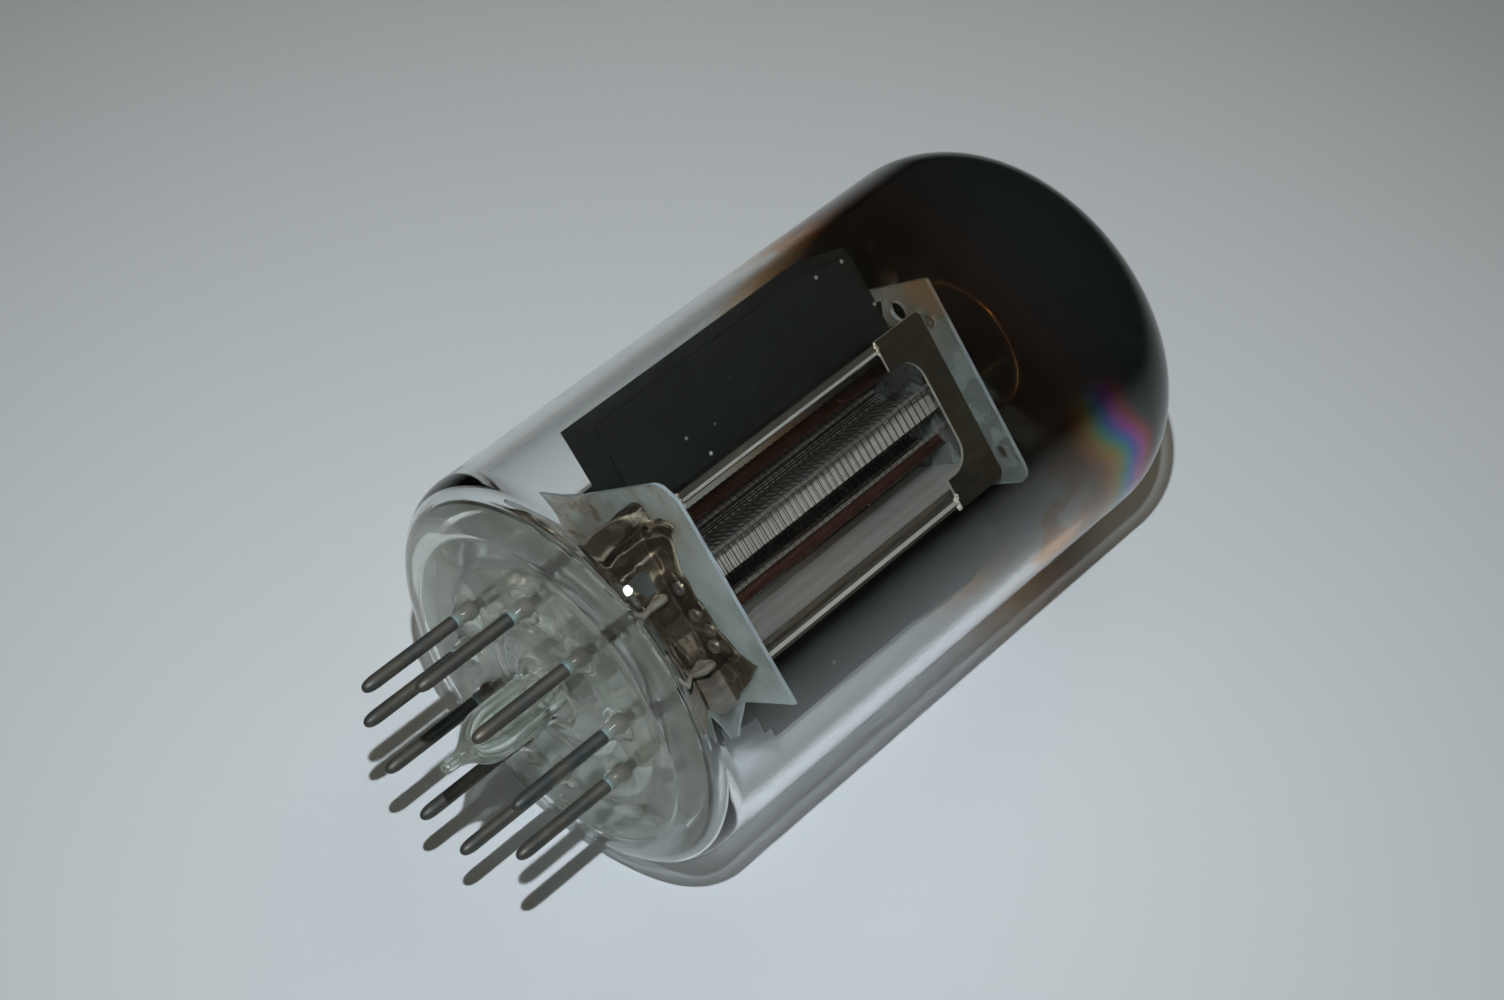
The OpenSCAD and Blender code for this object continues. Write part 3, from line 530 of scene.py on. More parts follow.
# Going up, the veil darkens over at most VEIL_SPAN and the rainbow runs over BAND_SPAN, in
# millimetres. Both are at BLACK_AT on the edge.
VEIL_SPAN = 24
BAND_SPAN = 26
BLACK_AT = 0.75
spread = ramp(
    tree, share,
    (0.0, 20 / VEIL_SPAN), (0.1, 12 / VEIL_SPAN), (0.17, 8 / VEIL_SPAN), (0.28, 9 / VEIL_SPAN),
    (0.36, 13 / VEIL_SPAN), (0.46, 1.0),
)
risen = math_node(tree, "DIVIDE", above, math_node(tree, "MULTIPLY", spread, VEIL_SPAN))
depth = math_node(tree, "ADD", risen, BLACK_AT)
seen_through = ramp(
    tree, depth,
    (0.0, (1.0, 1.0, 1.0)), (0.1, (0.98, 0.93, 0.88)), (0.22, (0.9, 0.74, 0.6)),
    (0.36, (0.6, 0.42, 0.26)), (0.5, (0.36, 0.21, 0.1)), (0.64, (0.2, 0.1, 0.045)),
    (0.74, (0.05, 0.02, 0.02)), (0.8, (0.0, 0.0, 0.0)),
)
band_at = math_node(tree, "MULTIPLY_ADD", above, 1 / BAND_SPAN, BLACK_AT)
plain = ramp(
    tree, band_at,
    (0.3, (0.15, 0.1, 0.065)), (0.6, (0.07, 0.045, 0.03)),
    (0.75, (0.032, 0.03, 0.027)), (0.9, (0.026, 0.034, 0.032)),
)
band = ramp(
    tree, band_at,
    (0.5, (0.12, 0.09, 0.06)), (0.58, (0.6, 0.24, 0.04)), (0.62, (0.42, 0.38, 0.06)),
    (0.66, (0.05, 0.36, 0.3)), (0.7, (0.05, 0.12, 0.5)), (0.74, (0.36, 0.05, 0.34)),
    (0.78, (0.3, 0.05, 0.05)), (0.83, (0.04, 0.045, 0.045)), (1.0, (0.034, 0.042, 0.04)),
)
on_the_right = ramp(tree, share, (0.27, 0.0), (0.34, 1.0), (0.45, 1.0), (0.5, 0.0))
bounced = mixed(tree, on_the_right, plain, band)
cover = ramp(tree, band_at, (0.1, 0.0), (0.35, 0.06), (0.56, 0.3), (0.7, 0.85), (0.78, 1.0))
metal = node(tree, "ShaderNodeBsdfPrincipled", {
    "Base Color": bounced, "Metallic": 0.75, "Roughness": 0.07, "Specular IOR Level": 0.2,
})

# Peach-coloured flecks lie on the clear part of the veil, from a height of about 50 mm.
TUBE_H = 80
spotty = noise(tree, place, Scale=150.0, Detail=6.0, Roughness=0.6)
fleck_zone = ramp(tree, math_node(tree, "DIVIDE", height_mm, TUBE_H), (0.61, 0.0), (0.69, 1.0))
fleck = math_node(tree, "MULTIPLY", ramp(tree, spotty, (0.52, 0.0), (0.56, 1.0)), fleck_zone)
peach = mixed(tree, 1.0, seen_through, (0.95, 0.76, 0.6), "MULTIPLY")
veil = node(tree, "ShaderNodeBsdfTransparent", {"Color": mixed(tree, fleck, seen_through, peach)})
whole = node(tree, "ShaderNodeMixShader", {0: cover, 1: veil.outputs[0], 2: metal.outputs[0]})
tree.links.new(whole.outputs[0], surface)
film.data.materials.append(mirror)
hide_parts("getter_film")
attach(film, "root")


# ---- Pins ----
# Nine lengths of nickel-iron wire, rounded at the tip. They were pressed into the hot button, and
# the flame left them dark with oxide, and red where the glass has wetted them.
def new_group(name, inputs, outputs):
    """An empty node group. Its inputs and outputs are pairs of a name and a kind."""
    group = bpy.data.node_groups.new(name, "ShaderNodeTree")
    for way, sockets in (("INPUT", inputs), ("OUTPUT", outputs)):
        for label, kind in sockets:
            group.interface.new_socket(label, in_out=way, socket_type=kind)
    return group, group.nodes.new("NodeGroupInput"), group.nodes.new("NodeGroupOutput")


def placed(tree, group, **values):
    """The group put into a material, with its own values."""
    inputs = {label.replace("_", " "): value for label, value in values.items()}
    return node(tree, "ShaderNodeGroup", inputs, node_tree=group)


# Fine lines that drawing or rolling leaves along Z, and patches of tarnish.
drawn, group_in, group_out = new_group(
    "drawn_metal",
    [
        ("Clean", "NodeSocketColor"), ("Stained", "NodeSocketColor"), ("Stain", "NodeSocketFloat"),
        ("Line Scale", "NodeSocketFloat"), ("Rough", "NodeSocketFloat"),
    ],
    [("Colour", "NodeSocketColor"), ("Roughness", "NodeSocketFloat"), ("Lines", "NodeSocketFloat")],
)
place = node(drawn, "ShaderNodeTexCoord").outputs["Object"]
stretched = node(drawn, "ShaderNodeMapping", {"Vector": place, "Scale": (1.0, 1.0, 0.03)})
lines = noise(drawn, stretched.outputs[0], Scale=group_in.outputs["Line Scale"], Detail=3.0)
patches = noise(drawn, place, Scale=260.0, Detail=5.0, Roughness=0.62)
patchy = ramp(drawn, patches, (0.35, 0.0), (0.7, 1.0))
stain = math_node(drawn, "MULTIPLY", patchy, group_in.outputs["Stain"])
lined = mixed(drawn, ramp(drawn, lines, (0.3, 0.0), (0.7, 1.0)), (0.72, 0.72, 0.72), (1.1, 1.1, 1.1))
base = mixed(drawn, 1.0, group_in.outputs["Clean"], lined, "MULTIPLY")
drawn.links.new(mixed(drawn, stain, base, group_in.outputs["Stained"]), group_out.inputs["Colour"])
rough = math_node(drawn, "ADD", group_in.outputs["Rough"], math_node(drawn, "MULTIPLY", patches, 0.2))
drawn.links.new(rough, group_out.inputs["Roughness"])
drawn.links.new(lines, group_out.inputs["Lines"])


def raised(tree, height, strength, depth):
    """The normal of a rough surface. depth is how far it is raised, in millimetres."""
    inputs = {"Height": height, "Strength": strength, "Distance": depth * MM}
    return node(tree, "ShaderNodeBump", inputs).outputs[0]


LINE_DEPTH = 0.01


def metal_finish(name, clean, stained, stain, lines, rough, metallic=1.0):
    """Drawn or rolled metal with tarnish."""
    material, tree, surface = empty_material(name)
    made = placed(
        tree, drawn, Clean=(*clean, 1), Stained=(*stained, 1), Stain=stain,
        Line_Scale=lines, Rough=rough,
    )
    shader = node(tree, "ShaderNodeBsdfPrincipled", {
        "Base Color": made.outputs["Colour"], "Metallic": metallic,
        "Roughness": made.outputs["Roughness"],
        "Normal": raised(tree, made.outputs["Lines"], 0.3, LINE_DEPTH),
    })
    tree.links.new(shader.outputs[0], surface)
    return material


PIN_R = 0.635
NECK_R = 0.45
SEAL_R = 0.62
SHANK_Z = 1.35
SHANK_TOP_Z = 10.2
PIN_TOP_Z = 16.0
pin_tip = [
    (0, 0.0), (0.17, 0.03), (0.33, 0.14), (0.46, 0.33), (0.55, 0.6), (0.61, 0.95), (PIN_R, SHANK_Z),
]
pin_shank = [(PIN_R, SHANK_Z + 0.5 * i) for i in range(1, 18)] + [(PIN_R, SHANK_TOP_Z)]
pin_seal = [
    (0.56, 10.5), (NECK_R, 10.7), (NECK_R, 11.5), (SEAL_R, 12.0), (SEAL_R, 13.6), (NECK_R, 14.1),
    (NECK_R, PIN_TOP_Z), (0, PIN_TOP_Z),
]
pin_metal, tree, surface = empty_material("pin_metal")
made = placed(
    tree, drawn, Clean=(0.105, 0.09, 0.068, 1), Stained=(0.026, 0.045, 0.047, 1), Stain=1.0,
    Line_Scale=1500.0, Rough=0.42,
)
place = node(tree, "ShaderNodeTexCoord").outputs["Object"]
height = node(tree, "ShaderNodeSeparateXYZ", {0: place}).outputs["Z"]

# Going up into the glass, a pin is pale, then dark red. The stops are shares of 20 mm.
sealed = ramp(
    tree, math_node(tree, "DIVIDE", height, 20 * MM),
    (0.505, (0.1, 0.1, 0.1)), (0.515, (0.3, 0.46, 0.5)), (0.54, (0.14, 0.18, 0.18)),
    (0.565, (0.06, 0.035, 0.03)), (0.59, (0.022, 0.003, 0.003)), (0.8, (0.02, 0.004, 0.004)),
)
in_glass = math_node(tree, "GREATER_THAN", height, SHANK_TOP_Z * MM)
shader = node(tree, "ShaderNodeBsdfPrincipled", {
    "Base Color": mixed(tree, in_glass, made.outputs["Colour"], sealed), "Metallic": 0.55,
    "Roughness": made.outputs["Roughness"],
    "Normal": raised(tree, made.outputs["Lines"], 0.3, LINE_DEPTH),
})
tree.links.new(shader.outputs[0], surface)
first_pin = lathe("pin", pin_tip + pin_shank + pin_seal, 32)
first_pin.data.materials.append(pin_metal)
for index, spot in enumerate(pin_spots, 1):
    piece = first_pin.copy()
    piece.data = first_pin.data.copy()
    piece.name = f"contact_pin_{index}"
    scene.collection.objects.link(piece)
    piece.data.transform(Matrix.Translation((spot.x * MM, spot.y * MM, 0)))
    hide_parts(f"pin_{index}")
    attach(piece, "root")
bpy.data.objects.remove(first_pin)


# ---- Micas ----
# Two sheets punched from split mica, which hold every electrode in its place. They are milky where they
# are cut, carry a gold sheen in flecks on the left that is a painted reflection, and are drawn darker
# towards the top, so the upper one is darker.
def finish(material, *names):
    """Gives CAD nodes their material."""
    for name in names:
        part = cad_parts[name]
        part.data.materials.clear()
        part.data.materials.append(material)


def eased(width, *names):
    """Breaks the sharp edges of CAD pieces with a small bevel."""
    for name in names:
        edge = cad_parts[name].modifiers.new("edge", "BEVEL")
        edge.width = width * MM
        edge.segments = 2
        edge.limit_method = "ANGLE"
        edge.angle_limit = math.radians(40)


def cut_edges(tree, axis, start, end):
    """1 on the cut edges of a sheet that lies across an axis, and 0 on its faces."""
    normal = node(tree, "ShaderNodeNewGeometry").outputs["Normal"]
    along = node(tree, "ShaderNodeSeparateXYZ", {0: normal}).outputs[axis]
    return ramp(tree, math_node(tree, "ABSOLUTE", along), (start, 1.0), (end, 0.0))


mica, tree, surface = empty_material("mica")
place = node(tree, "ShaderNodeTexCoord").outputs["Object"]
axes = node(tree, "ShaderNodeSeparateXYZ", {0: place})
flakes = noise(tree, place, Scale=300.0, Detail=4.0)
flaky = ramp(tree, flakes, (0.3, (0.23, 0.27, 0.255)), (0.7, (0.38, 0.425, 0.41)))
up_share = math_node(tree, "DIVIDE", axes.outputs["Z"], TUBE_H * MM)
# The sheets are drawn darker towards the top.
darker_upwards = ramp(tree, up_share, (0.3, (1.35, 1.35, 1.35)), (0.7, (0.7, 0.74, 0.72)))
# Painted reflection: a gold sheen in flecks towards the left.
left_share = math_node(tree, "DIVIDE", axes.outputs["X"], -BULB_R * MM)
leftward = ramp(tree, left_share, (2 / BULB_R, 0.0), (10 / BULB_R, 1.0))
gold_sheen_painted = math_node(tree, "MULTIPLY", ramp(tree, flakes, (0.42, 0.0), (0.6, 1.0)), leftward)
stained = mixed(tree, gold_sheen_painted, mixed(tree, 1.0, flaky, darker_upwards, "MULTIPLY"), (0.26, 0.215, 0.14))
cut_edge = cut_edges(tree, "Z", 0.4, 0.8)
shader = node(tree, "ShaderNodeBsdfPrincipled", {
    "Base Color": mixed(tree, cut_edge, stained, (0.2, 0.235, 0.24)), "Roughness": 0.28,
    "Alpha": ramp(tree, cut_edge, (0.0, 0.55), (1.0, 0.95)), "Coat Weight": 0.6, "Coat Roughness": 0.08,
})
tree.links.new(shader.outputs[0], surface)
finish(mica, "bottom_mica", "top_mica")
eased(0.05, "bottom_mica", "top_mica")


# ---- Anode plates and fins ----
# The two anode halves are bent from bright nickel. The fins that cool them are blackened sheet,
# with specks of dust on them.
def shader_of(metal):
    """The surface shader of a finished metal."""
    return next(n for n in metal.node_tree.nodes if n.type == "BSDF_PRINCIPLED")


def toned(metal, mask, shade):
    """Gives a finished metal another colour where mask(tree, x, y, z), in millimetres, is 1."""
    tree = metal.node_tree
    colour = shader_of(metal).inputs["Base Color"]
    place = node(tree, "ShaderNodeTexCoord").outputs["Object"]
    in_mm = node(tree, "ShaderNodeVectorMath", {0: place, "Scale": 1000.0}, operation="SCALE").outputs[0]
    axes = node(tree, "ShaderNodeSeparateXYZ", {0: in_mm}).outputs
    tree.links.new(mixed(tree, mask(tree, *axes), colour.links[0].from_socket, shade), colour)


STEP_Y = 4.9
FLANGE_Y = 6.2

# Where the painted highlight lines are across the tube, and half of their width.
LEFT_HIGHLIGHT_LINE = (-7.68, 0.14)
RIGHT_HIGHLIGHT_LINE = (7.9, 0.2)


def painted_shade_on_flanges(tree, x, y, z):
    """Painted shade on the flanges and the steps behind them, but for a painted highlight line down the
    front of each flange.
    """
    out = math_node(tree, "ABSOLUTE", y)
    left_line = math_node(tree, "COMPARE", x, *LEFT_HIGHLIGHT_LINE)
    right_line = math_node(tree, "COMPARE", x, *RIGHT_HIGHLIGHT_LINE)
    on_flange = math_node(tree, "GREATER_THAN", out, FLANGE_Y)
    highlight_line = math_node(tree, "MULTIPLY", math_node(tree, "MAXIMUM", left_line, right_line), on_flange)
    return math_node(tree, "SUBTRACT", math_node(tree, "GREATER_THAN", out, STEP_Y), highlight_line)


anode_nickel = metal_finish(
    "anode_nickel", (0.52, 0.52, 0.47), (0.34, 0.31, 0.25), stain=0.4, lines=700.0, rough=0.42,
    metallic=0.62,
)
# Painted shade darkens the flanges and the steps behind them, all but a line down each flange that is
# left bright as a painted highlight.
toned(anode_nickel, painted_shade_on_flanges, (0.065, 0.056, 0.04))
finish(anode_nickel, "anode_left", "anode_right")

black, tree, surface = empty_material("blackened_fin")
place = node(tree, "ShaderNodeTexCoord").outputs["Object"]
soot = noise(tree, place, Scale=500.0, Detail=4.0)
sooty = ramp(tree, soot, (0.3, (0.003, 0.004, 0.003)), (0.7, (0.006, 0.0075, 0.006)))

# A speck sits in the middle of every third grain or so.
grains = node(tree, "ShaderNodeTexVoronoi", {"Vector": place, "Scale": 400.0, "Randomness": 1.0})
dot = ramp(tree, grains.outputs["Distance"], (0.05, 1.0), (0.09, 0.0))
chosen = node(tree, "ShaderNodeSeparateColor", {0: grains.outputs["Color"]}).outputs[0]
speck = math_node(tree, "MULTIPLY", dot, ramp(tree, chosen, (0.66, 0.0), (0.7, 1.0)))
shader = node(tree, "ShaderNodeBsdfPrincipled", {
    "Base Color": mixed(tree, speck, sooty, (0.3, 0.3, 0.27)), "Roughness": 0.6,
    "Specular IOR Level": 0.1,
})
tree.links.new(shader.outputs[0], surface)
FINS = ("left_fin_front", "left_fin_rear", "right_fin_front", "right_fin_rear")
finish(black, *FINS)
eased(0.04, "anode_left", "anode_right", *FINS)


# ---- End frames ----
# C-shaped plates of tarnished nickel, welded across both anode halves by the feet at their ends.
# Their cut edges carry a painted highlight, and the burrs that were left when the feet were welded and
# trimmed shine.
FRAMES = ("top_frame_front", "top_frame_rear", "bottom_frame_front", "bottom_frame_rear")
frame_metal, tree, surface = empty_material("dark_nickel")
made = placed(
    tree, drawn, Clean=(0.06, 0.051, 0.033, 1), Stained=(0.03, 0.024, 0.015, 1), Stain=0.6,
    Line_Scale=1200.0, Rough=0.32,
)
# Painted highlight: the cut edges of the plates are drawn pale.
cut_edge = cut_edges(tree, "Y", 0.3, 0.7)
shader = node(tree, "ShaderNodeBsdfPrincipled", {
    "Base Color": mixed(tree, cut_edge, made.outputs["Colour"], (0.6, 0.58, 0.5)), "Metallic": 0.8,
    "Roughness": made.outputs["Roughness"],
})
tree.links.new(shader.outputs[0], surface)
finish(frame_metal, *FRAMES)
eased(0.05, *FRAMES)

# A row of burrs lies along the end of each foot.
weld_metal, tree, surface = empty_material("weld_metal")
place = node(tree, "ShaderNodeTexCoord").outputs["Object"]
lumps = noise(tree, place, Scale=2500.0, Detail=3.0)
shader = node(tree, "ShaderNodeBsdfPrincipled", {
    "Base Color": ramp(tree, lumps, (0.35, (0.25, 0.18, 0.09)), (0.6, (0.9, 0.87, 0.78))),
    "Metallic": 0.7, "Roughness": 0.3,
    "Normal": raised(tree, lumps, 0.8, 0.1),
})
tree.links.new(shader.outputs[0], surface)
FOOT_ENDS_Z = (53.65, 28.4)
FOOT_FACE_Y = 6.52
FIRST_BURR_X = 7.35
BURR_STEP = 0.22
BURRS_PER_FOOT = 6
foot_ends = [(side, front, z) for z in FOOT_ENDS_Z for side in (-1, 1) for front in (-1, 1)]
burrs = []
for side, front, foot_z in foot_ends:
    for i in range(BURRS_PER_FOOT):
        x, y = side * (FIRST_BURR_X + BURR_STEP * i), front * FOOT_FACE_Y
        at = Vector((x, y, foot_z + chance.uniform(-0.15, 0.15))) * MM
        radius = chance.uniform(0.14, 0.27) * MM
        bpy.ops.mesh.primitive_ico_sphere_add(subdivisions=2, radius=radius, location=at)
        bpy.context.object.scale = (1.0, 0.6, chance.uniform(0.8, 1.6))
        bpy.ops.object.shade_smooth()
        burrs.append(bpy.context.object)
welds = joined(burrs)
welds.name = "frame_welds"
welds.data.materials.append(weld_metal)
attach(welds, "root")


# ---- Grids, rods and beam plate ----
# Bright side bars and rods carry the turns of fine wire, and the copper rods take heat away.
# Each grid is one length of wire, drawn as a single turn and repeated up the cage.
BEND_STEPS = 4


def rounded(points, reach):
    """Bends each inner corner of a line round over a short reach."""
    bent = [Vector(points[0])]
    for before, corner, after in zip(points, points[1:], points[2:]):
        corner = Vector(corner)
        start = corner + (Vector(before) - corner).normalized() * reach
        end = corner + (Vector(after) - corner).normalized() * reach
        for i in range(BEND_STEPS + 1):
            t = i / BEND_STEPS
            bent.append((1 - t) ** 2 * start + 2 * t * (1 - t) * corner + t * t * end)
    return bent + [Vector(points[-1])]


def to_wire(piece, thickness):
    """Makes a drawn line into a round wire with closed ends."""
    select_only(piece)
    bpy.ops.object.convert(target="CURVE")
    piece.data.bevel_depth = thickness / 2 * MM
    piece.data.bevel_resolution = 2
    piece.data.use_fill_caps = True
    bpy.ops.object.convert(target="MESH")
    bpy.ops.object.transform_apply(location=True, rotation=True, scale=True)
    bpy.ops.object.shade_smooth()
    return bpy.context.object


TURNS = 44
PITCH = 0.75
FIRST_TURN_Z = 25.15


def winding(name, outline, thickness):
    """Repeats one rising turn up the cage, as a helix."""
    runs = [0.0]
    for a, b in zip(outline, outline[1:]):
        runs.append(runs[-1] + math.dist(a, b))
    rising = [(x, y, FIRST_TURN_Z + PITCH * run / runs[-1]) for (x, y), run in zip(outline, runs)]
    piece = line(name, rising)
    repeat = piece.modifiers.new("turns", "ARRAY")
    repeat.count = TURNS
    repeat.use_relative_offset = False
    repeat.use_constant_offset = True
    repeat.constant_offset_displace = (0, 0, PITCH * MM)
    repeat.use_merge_vertices = True
    repeat.merge_threshold = 0.001 * MM
    bpy.ops.object.modifier_apply(modifier=repeat.name)
    return to_wire(piece, thickness)


# The control grid is a narrow box, and the screen grid round it is pointed at the sides.
BOX_X, BOX_Y = 1.3, 3.05
control_outline = rounded([
    (0, -BOX_Y), (BOX_X, -BOX_Y), (BOX_X, BOX_Y), (-BOX_X, BOX_Y), (-BOX_X, -BOX_Y), (0, -BOX_Y),
], 0.3)
SCREEN_X, SCREEN_Y = 2.0, 4.9
SCREEN_BEND = 0.2
SCREEN_SLOPE = 30.6
right_half = (
    arc((SCREEN_X, -SCREEN_Y), SCREEN_BEND, -90, -SCREEN_SLOPE, 3)
    + arc((4.4, 0), 0.675, -SCREEN_SLOPE, SCREEN_SLOPE, 5)
    + arc((SCREEN_X, SCREEN_Y), SCREEN_BEND, SCREEN_SLOPE, 90, 3)
)
left_half = [(-x, y) for x, y in reversed(right_half)]
screen_start = (0, -SCREEN_Y - SCREEN_BEND)
screen_outline = [screen_start] + right_half + left_half + [screen_start]
control_winding = winding("control_winding", control_outline, thickness=0.09)
screen_winding = winding("screen_winding", screen_outline, thickness=0.05)
control_wire = metal_finish(
    "control_wire", (0.09, 0.08, 0.068), (0.05, 0.04, 0.03), stain=0.4, lines=1500.0, rough=0.35,
)
screen_wire = metal_finish(
    "screen_wire", (0.03, 0.026, 0.022), (0.018, 0.016, 0.014), stain=0.4, lines=1500.0, rough=0.55,
)
for piece, metal, replaced in (
    (control_winding, control_wire, "control_grid_winding"),
    (screen_winding, screen_wire, "screen_grid_winding"),
):
    piece.data.materials.append(metal)
    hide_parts(replaced)
    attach(piece, "root")

bright_nickel = metal_finish(
    "bright_nickel", (0.42, 0.4, 0.35), (0.24, 0.2, 0.16), stain=0.35, lines=1500.0, rough=0.22,
    metallic=0.9,
)
finish(bright_nickel, "screen_grid_rods", "cathode_strap", "shield_eyelets", "top_eyelets")
copper = metal_finish(
    "copper", (0.2, 0.09, 0.06), (0.09, 0.045, 0.035), stain=0.5, lines=1500.0, rough=0.32,
)
finish(copper, "copper_rods")


def rear_painted_shade(tree, x, y, z):
    """Painted shade on all that is behind the axis."""
    return math_node(tree, "GREATER_THAN", y, 0.0)


def streaks(tree, x, y, z):
    """Bright lines up the beam plate, but for its right side."""
    inputs = {"W": x, "Scale": 2.2, "Detail": 2.0}
    across = node(tree, "ShaderNodeTexNoise", inputs, noise_dimensions="1D").outputs["Fac"]
    bright = ramp(tree, across, (0.5, 0.0), (0.55, 1.0))
    return math_node(tree, "MULTIPLY", bright, math_node(tree, "LESS_THAN", x, 2.0))


bar_nickel = metal_finish(
    "bar_nickel", (0.58, 0.57, 0.5), (0.4, 0.37, 0.3), stain=0.4, lines=1500.0, rough=0.35, metallic=0.6,
)
# Painted shade darkens the rear bars of the control grid.
toned(bar_nickel, rear_painted_shade, (0.08, 0.075, 0.06))
finish(bar_nickel, "control_grid_bars")
beam_nickel = metal_finish(
    "beam_nickel", (0.15, 0.13, 0.115), (0.07, 0.052, 0.045), stain=0.7, lines=500.0, rough=0.3,
    metallic=0.7,
)
toned(beam_nickel, streaks, (0.8, 0.76, 0.68))
finish(beam_nickel, "beam_plate")
eased(0.05, "beam_plate", "shield_eyelets", "top_eyelets")


# ---- Cathode and heater ----
# The cathode is a nickel sleeve, sprayed with oxide, and its coating is drawn dark grey as painted shade
# deep in the cage. The heater is a coated wire inside it.
coating, tree, surface = empty_material("cathode_coating")
place = node(tree, "ShaderNodeTexCoord").outputs["Object"]
grain = noise(tree, place, Scale=2500.0, Detail=3.0)
# Painted shade: the white oxide is drawn dark grey, as it lies in shadow inside the cage.
shader = node(tree, "ShaderNodeBsdfPrincipled", {
    "Base Color": ramp(tree, grain, (0.3, (0.1, 0.096, 0.088)), (0.7, (0.15, 0.145, 0.132))),
    "Roughness": 0.85, "Normal": raised(tree, grain, 0.5, 0.03),
})
tree.links.new(shader.outputs[0], surface)
finish(coating, "cathode_sleeve", "heater")


# ---- Shield and leads ----
# The two sheets of the shield hang under the bottom mica. They are thin nickel, brown with heat and
# dented all over, with painted highlights on the dents. The leads are drawn nickel wire, bent and welded
# from each pin to its electrode.
def painted_ridge_highlights(tree, x, y, z):
    """Thin crooked painted highlights on the dents of the shield, most of them on its left."""
    place = node(tree, "ShaderNodeTexCoord").outputs["Object"]
    upright = node(tree, "ShaderNodeMapping", {"Vector": place, "Scale": (1.0, 1.0, 0.4)}).outputs[0]
    dented = noise(tree, upright, Scale=300.0, Detail=1.0, Distortion=0.9)
    crest = ramp(tree, dented, (0.5, 0.0), (0.54, 0.9), (0.6, 0.0))
    leftward = ramp(tree, math_node(tree, "MULTIPLY_ADD", x, -0.05, 0.5), (0.35, 0.25), (0.6, 1.0))
    return math_node(tree, "MULTIPLY", crest, leftward)


brown_nickel = metal_finish(
    "brown_nickel", (0.2, 0.16, 0.115), (0.05, 0.037, 0.024), stain=0.85, lines=700.0, rough=0.06,
    metallic=0.85,
)
tree = brown_nickel.node_tree
place = node(tree, "ShaderNodeTexCoord").outputs["Object"]
creases = noise(tree, place, Scale=420.0, Detail=2.0)
tree.links.new(raised(tree, creases, 0.9, 0.4), shader_of(brown_nickel).inputs["Normal"])
# Painted highlights on the crests of the dents.
toned(brown_nickel, painted_ridge_highlights, (0.8, 0.7, 0.54))

# A copy of each sheet is merged, cut finely and dented. Dents go in and out by half of DENT_RANGE.
DENT_WIDTH = 2.2
DENT_RANGE = 0.9
FINE_CUT = 0.09
dents = bpy.data.textures.new("dents", "CLOUDS")
dents.noise_scale = DENT_WIDTH * MM
dents.noise_depth = 1
for name in ("shield_front", "shield_rear"):
    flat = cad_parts[name]
    sheet = bpy.data.objects.new(f"dented_{name}", flat.data.copy())
    sheet.data.transform(flat.matrix_world)
    scene.collection.objects.link(sheet)
    select_only(sheet)
    bpy.ops.object.mode_set(mode="EDIT")
    bpy.ops.mesh.select_all(action="SELECT")
    bpy.ops.mesh.remove_doubles(threshold=0.001 * MM)
    bpy.ops.object.mode_set(mode="OBJECT")
    fine = sheet.modifiers.new("fine", "REMESH")
    fine.mode = "VOXEL"
    fine.voxel_size = FINE_CUT * MM
    fine.use_smooth_shade = True
    pressed = sheet.modifiers.new("pressed", "DISPLACE")
    pressed.texture = dents
    pressed.texture_coords = "LOCAL"
    pressed.direction = "Y"
    pressed.strength = DENT_RANGE * MM
    pressed.mid_level = 0.5
    bpy.ops.object.modifier_apply(modifier=fine.name)
    bpy.ops.object.modifier_apply(modifier=pressed.name)
    sheet.data.materials.clear()
    sheet.data.materials.append(brown_nickel)
    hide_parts(name)
    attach(sheet, "root")

lead_nickel = metal_finish(
    "lead_nickel", (0.46, 0.43, 0.37), (0.24, 0.19, 0.14), stain=0.5, lines=1500.0, rough=0.24,
    metallic=0.85,
)
finish(lead_nickel, "lead_9")
eased(0.05, "lead_9")
LEAD_T = 0.7
BEND_REACH = 0.45

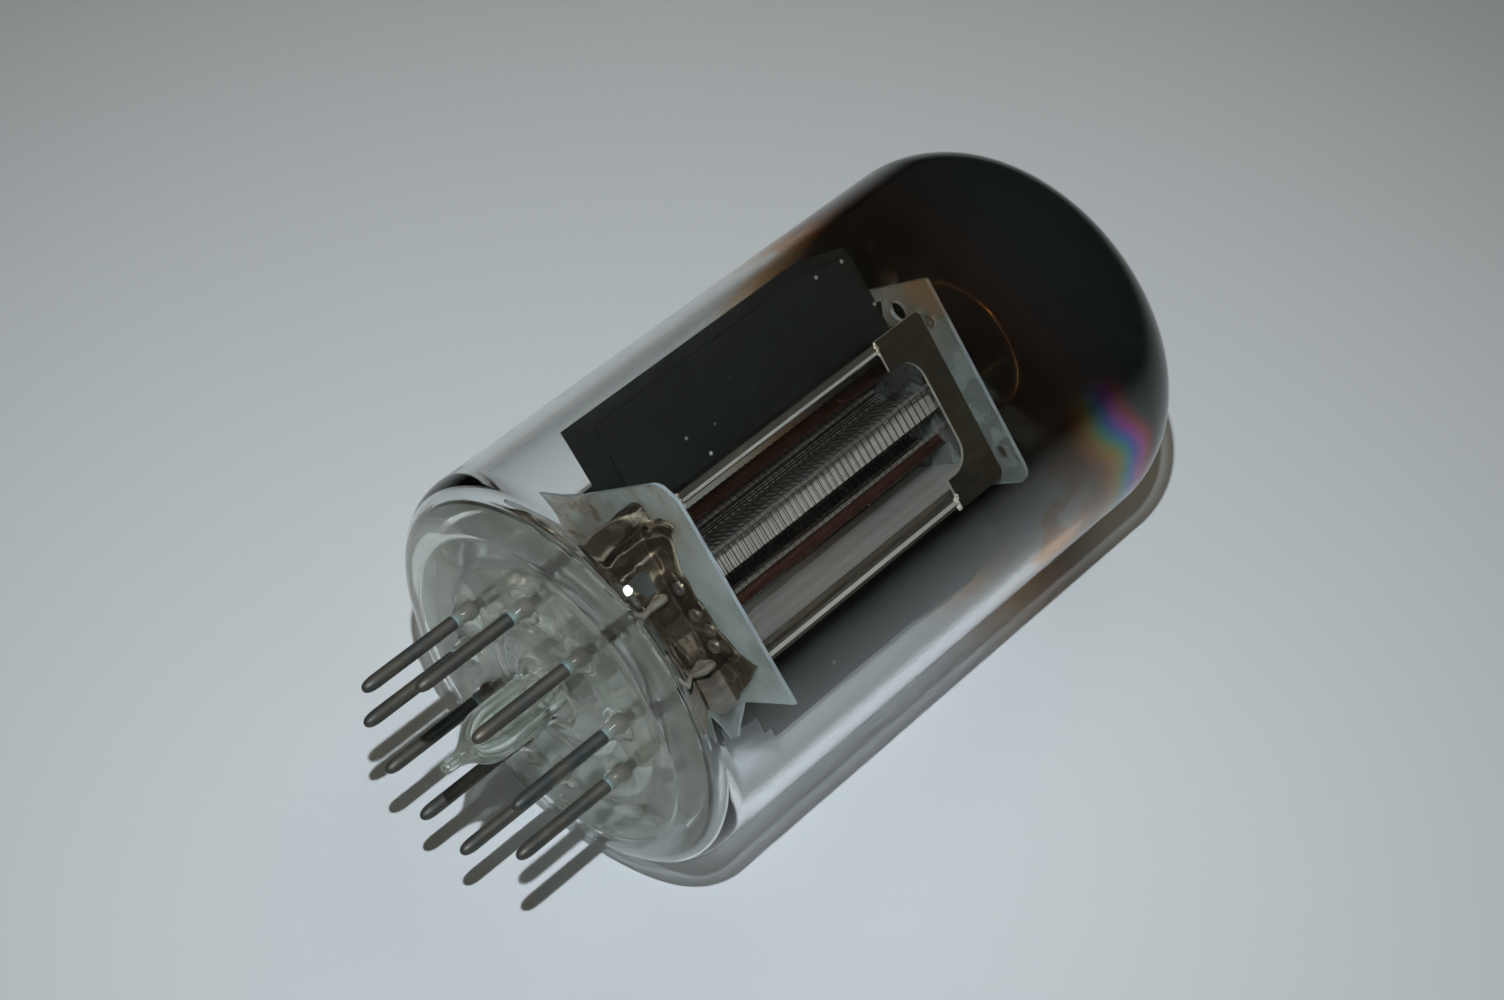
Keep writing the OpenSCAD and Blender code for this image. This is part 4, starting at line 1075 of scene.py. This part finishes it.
# An upright lead slants across to its electrode between one bend and the next.
# By pin: where it ends, the height of the slant and the height of its top.
upright_leads = {
    1: ((7.2, 0.6), 18.6, 22.4), 2: ((4.4, 0), 17.9, 22.0), 3: ((0, 1.35), 17.6, 19.7),
    4: ((-0.55, 2.75), 17.9, 22.0), 5: ((-7.2, 0.6), 18.6, 22.4), 6: ((0, -1.35), 17.9, 19.7),
}
routes = {}
for index, (at, slant_z, top_z) in upright_leads.items():
    spot = pin_spots[index - 1]
    routes[index] = [(*spot, PIN_TOP_Z), (*spot, slant_z - 1), (*at, slant_z + 0.8), (*at, top_z)]

# A hooked lead bends once more at its top, back to the wall of the shield.
WALL_Y = -7.5
HOOK_SLANT_Z = (17.2, 18.6)
hooked_leads = {7: ((-2.7, -8.8), 21.6), 8: ((4.1, -9.6), 22.0)}
for index, (at, top_z) in hooked_leads.items():
    spot = pin_spots[index - 1]
    routes[index] = [
        (*spot, PIN_TOP_Z), (*spot, HOOK_SLANT_Z[0]), (*at, HOOK_SLANT_Z[1]), (*at, top_z),
        (at[0], WALL_Y, top_z),
    ]
for index, route in routes.items():
    piece = to_wire(line(f"inner_lead_{index}", rounded(route, BEND_REACH)), LEAD_T)
    piece.data.materials.append(lead_nickel)
    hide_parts(f"lead_{index}")
    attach(piece, "root")


# ---- Getter ring ----
# A ring of rolled steel channel that held the getter metal, now gold with heat. It stands on two
# wires over the top mica, a little off the axis.
getter_steel = metal_finish(
    "getter_steel", (0.34, 0.21, 0.08), (0.12, 0.07, 0.03), stain=0.8, lines=1200.0, rough=0.1,
    metallic=0.95,
)
finish(getter_steel, "getter_supports")
RING_AT = (-1.9, -1.3, 66.0)
RING_R = 6.6
RING_HALF = 0.4
GROOVE_R = 0.175
GROOVE_Z = 0.3
ring_section = (
    [(RING_R + GROOVE_R, RING_HALF)]
    + arc((RING_R, 0), RING_HALF, 60, -240, 20)
    + [(RING_R - GROOVE_R, RING_HALF)]
    + arc((RING_R, GROOVE_Z), GROOVE_R, 180, 360, 8)
    + [(RING_R + GROOVE_R, RING_HALF)]
)
ring = lathe("getter_channel", ring_section, 128)
ring.data.transform(Matrix.Translation(Vector(RING_AT) * MM))
ring.data.materials.append(getter_steel)
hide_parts("getter_ring")
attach(ring, "root")
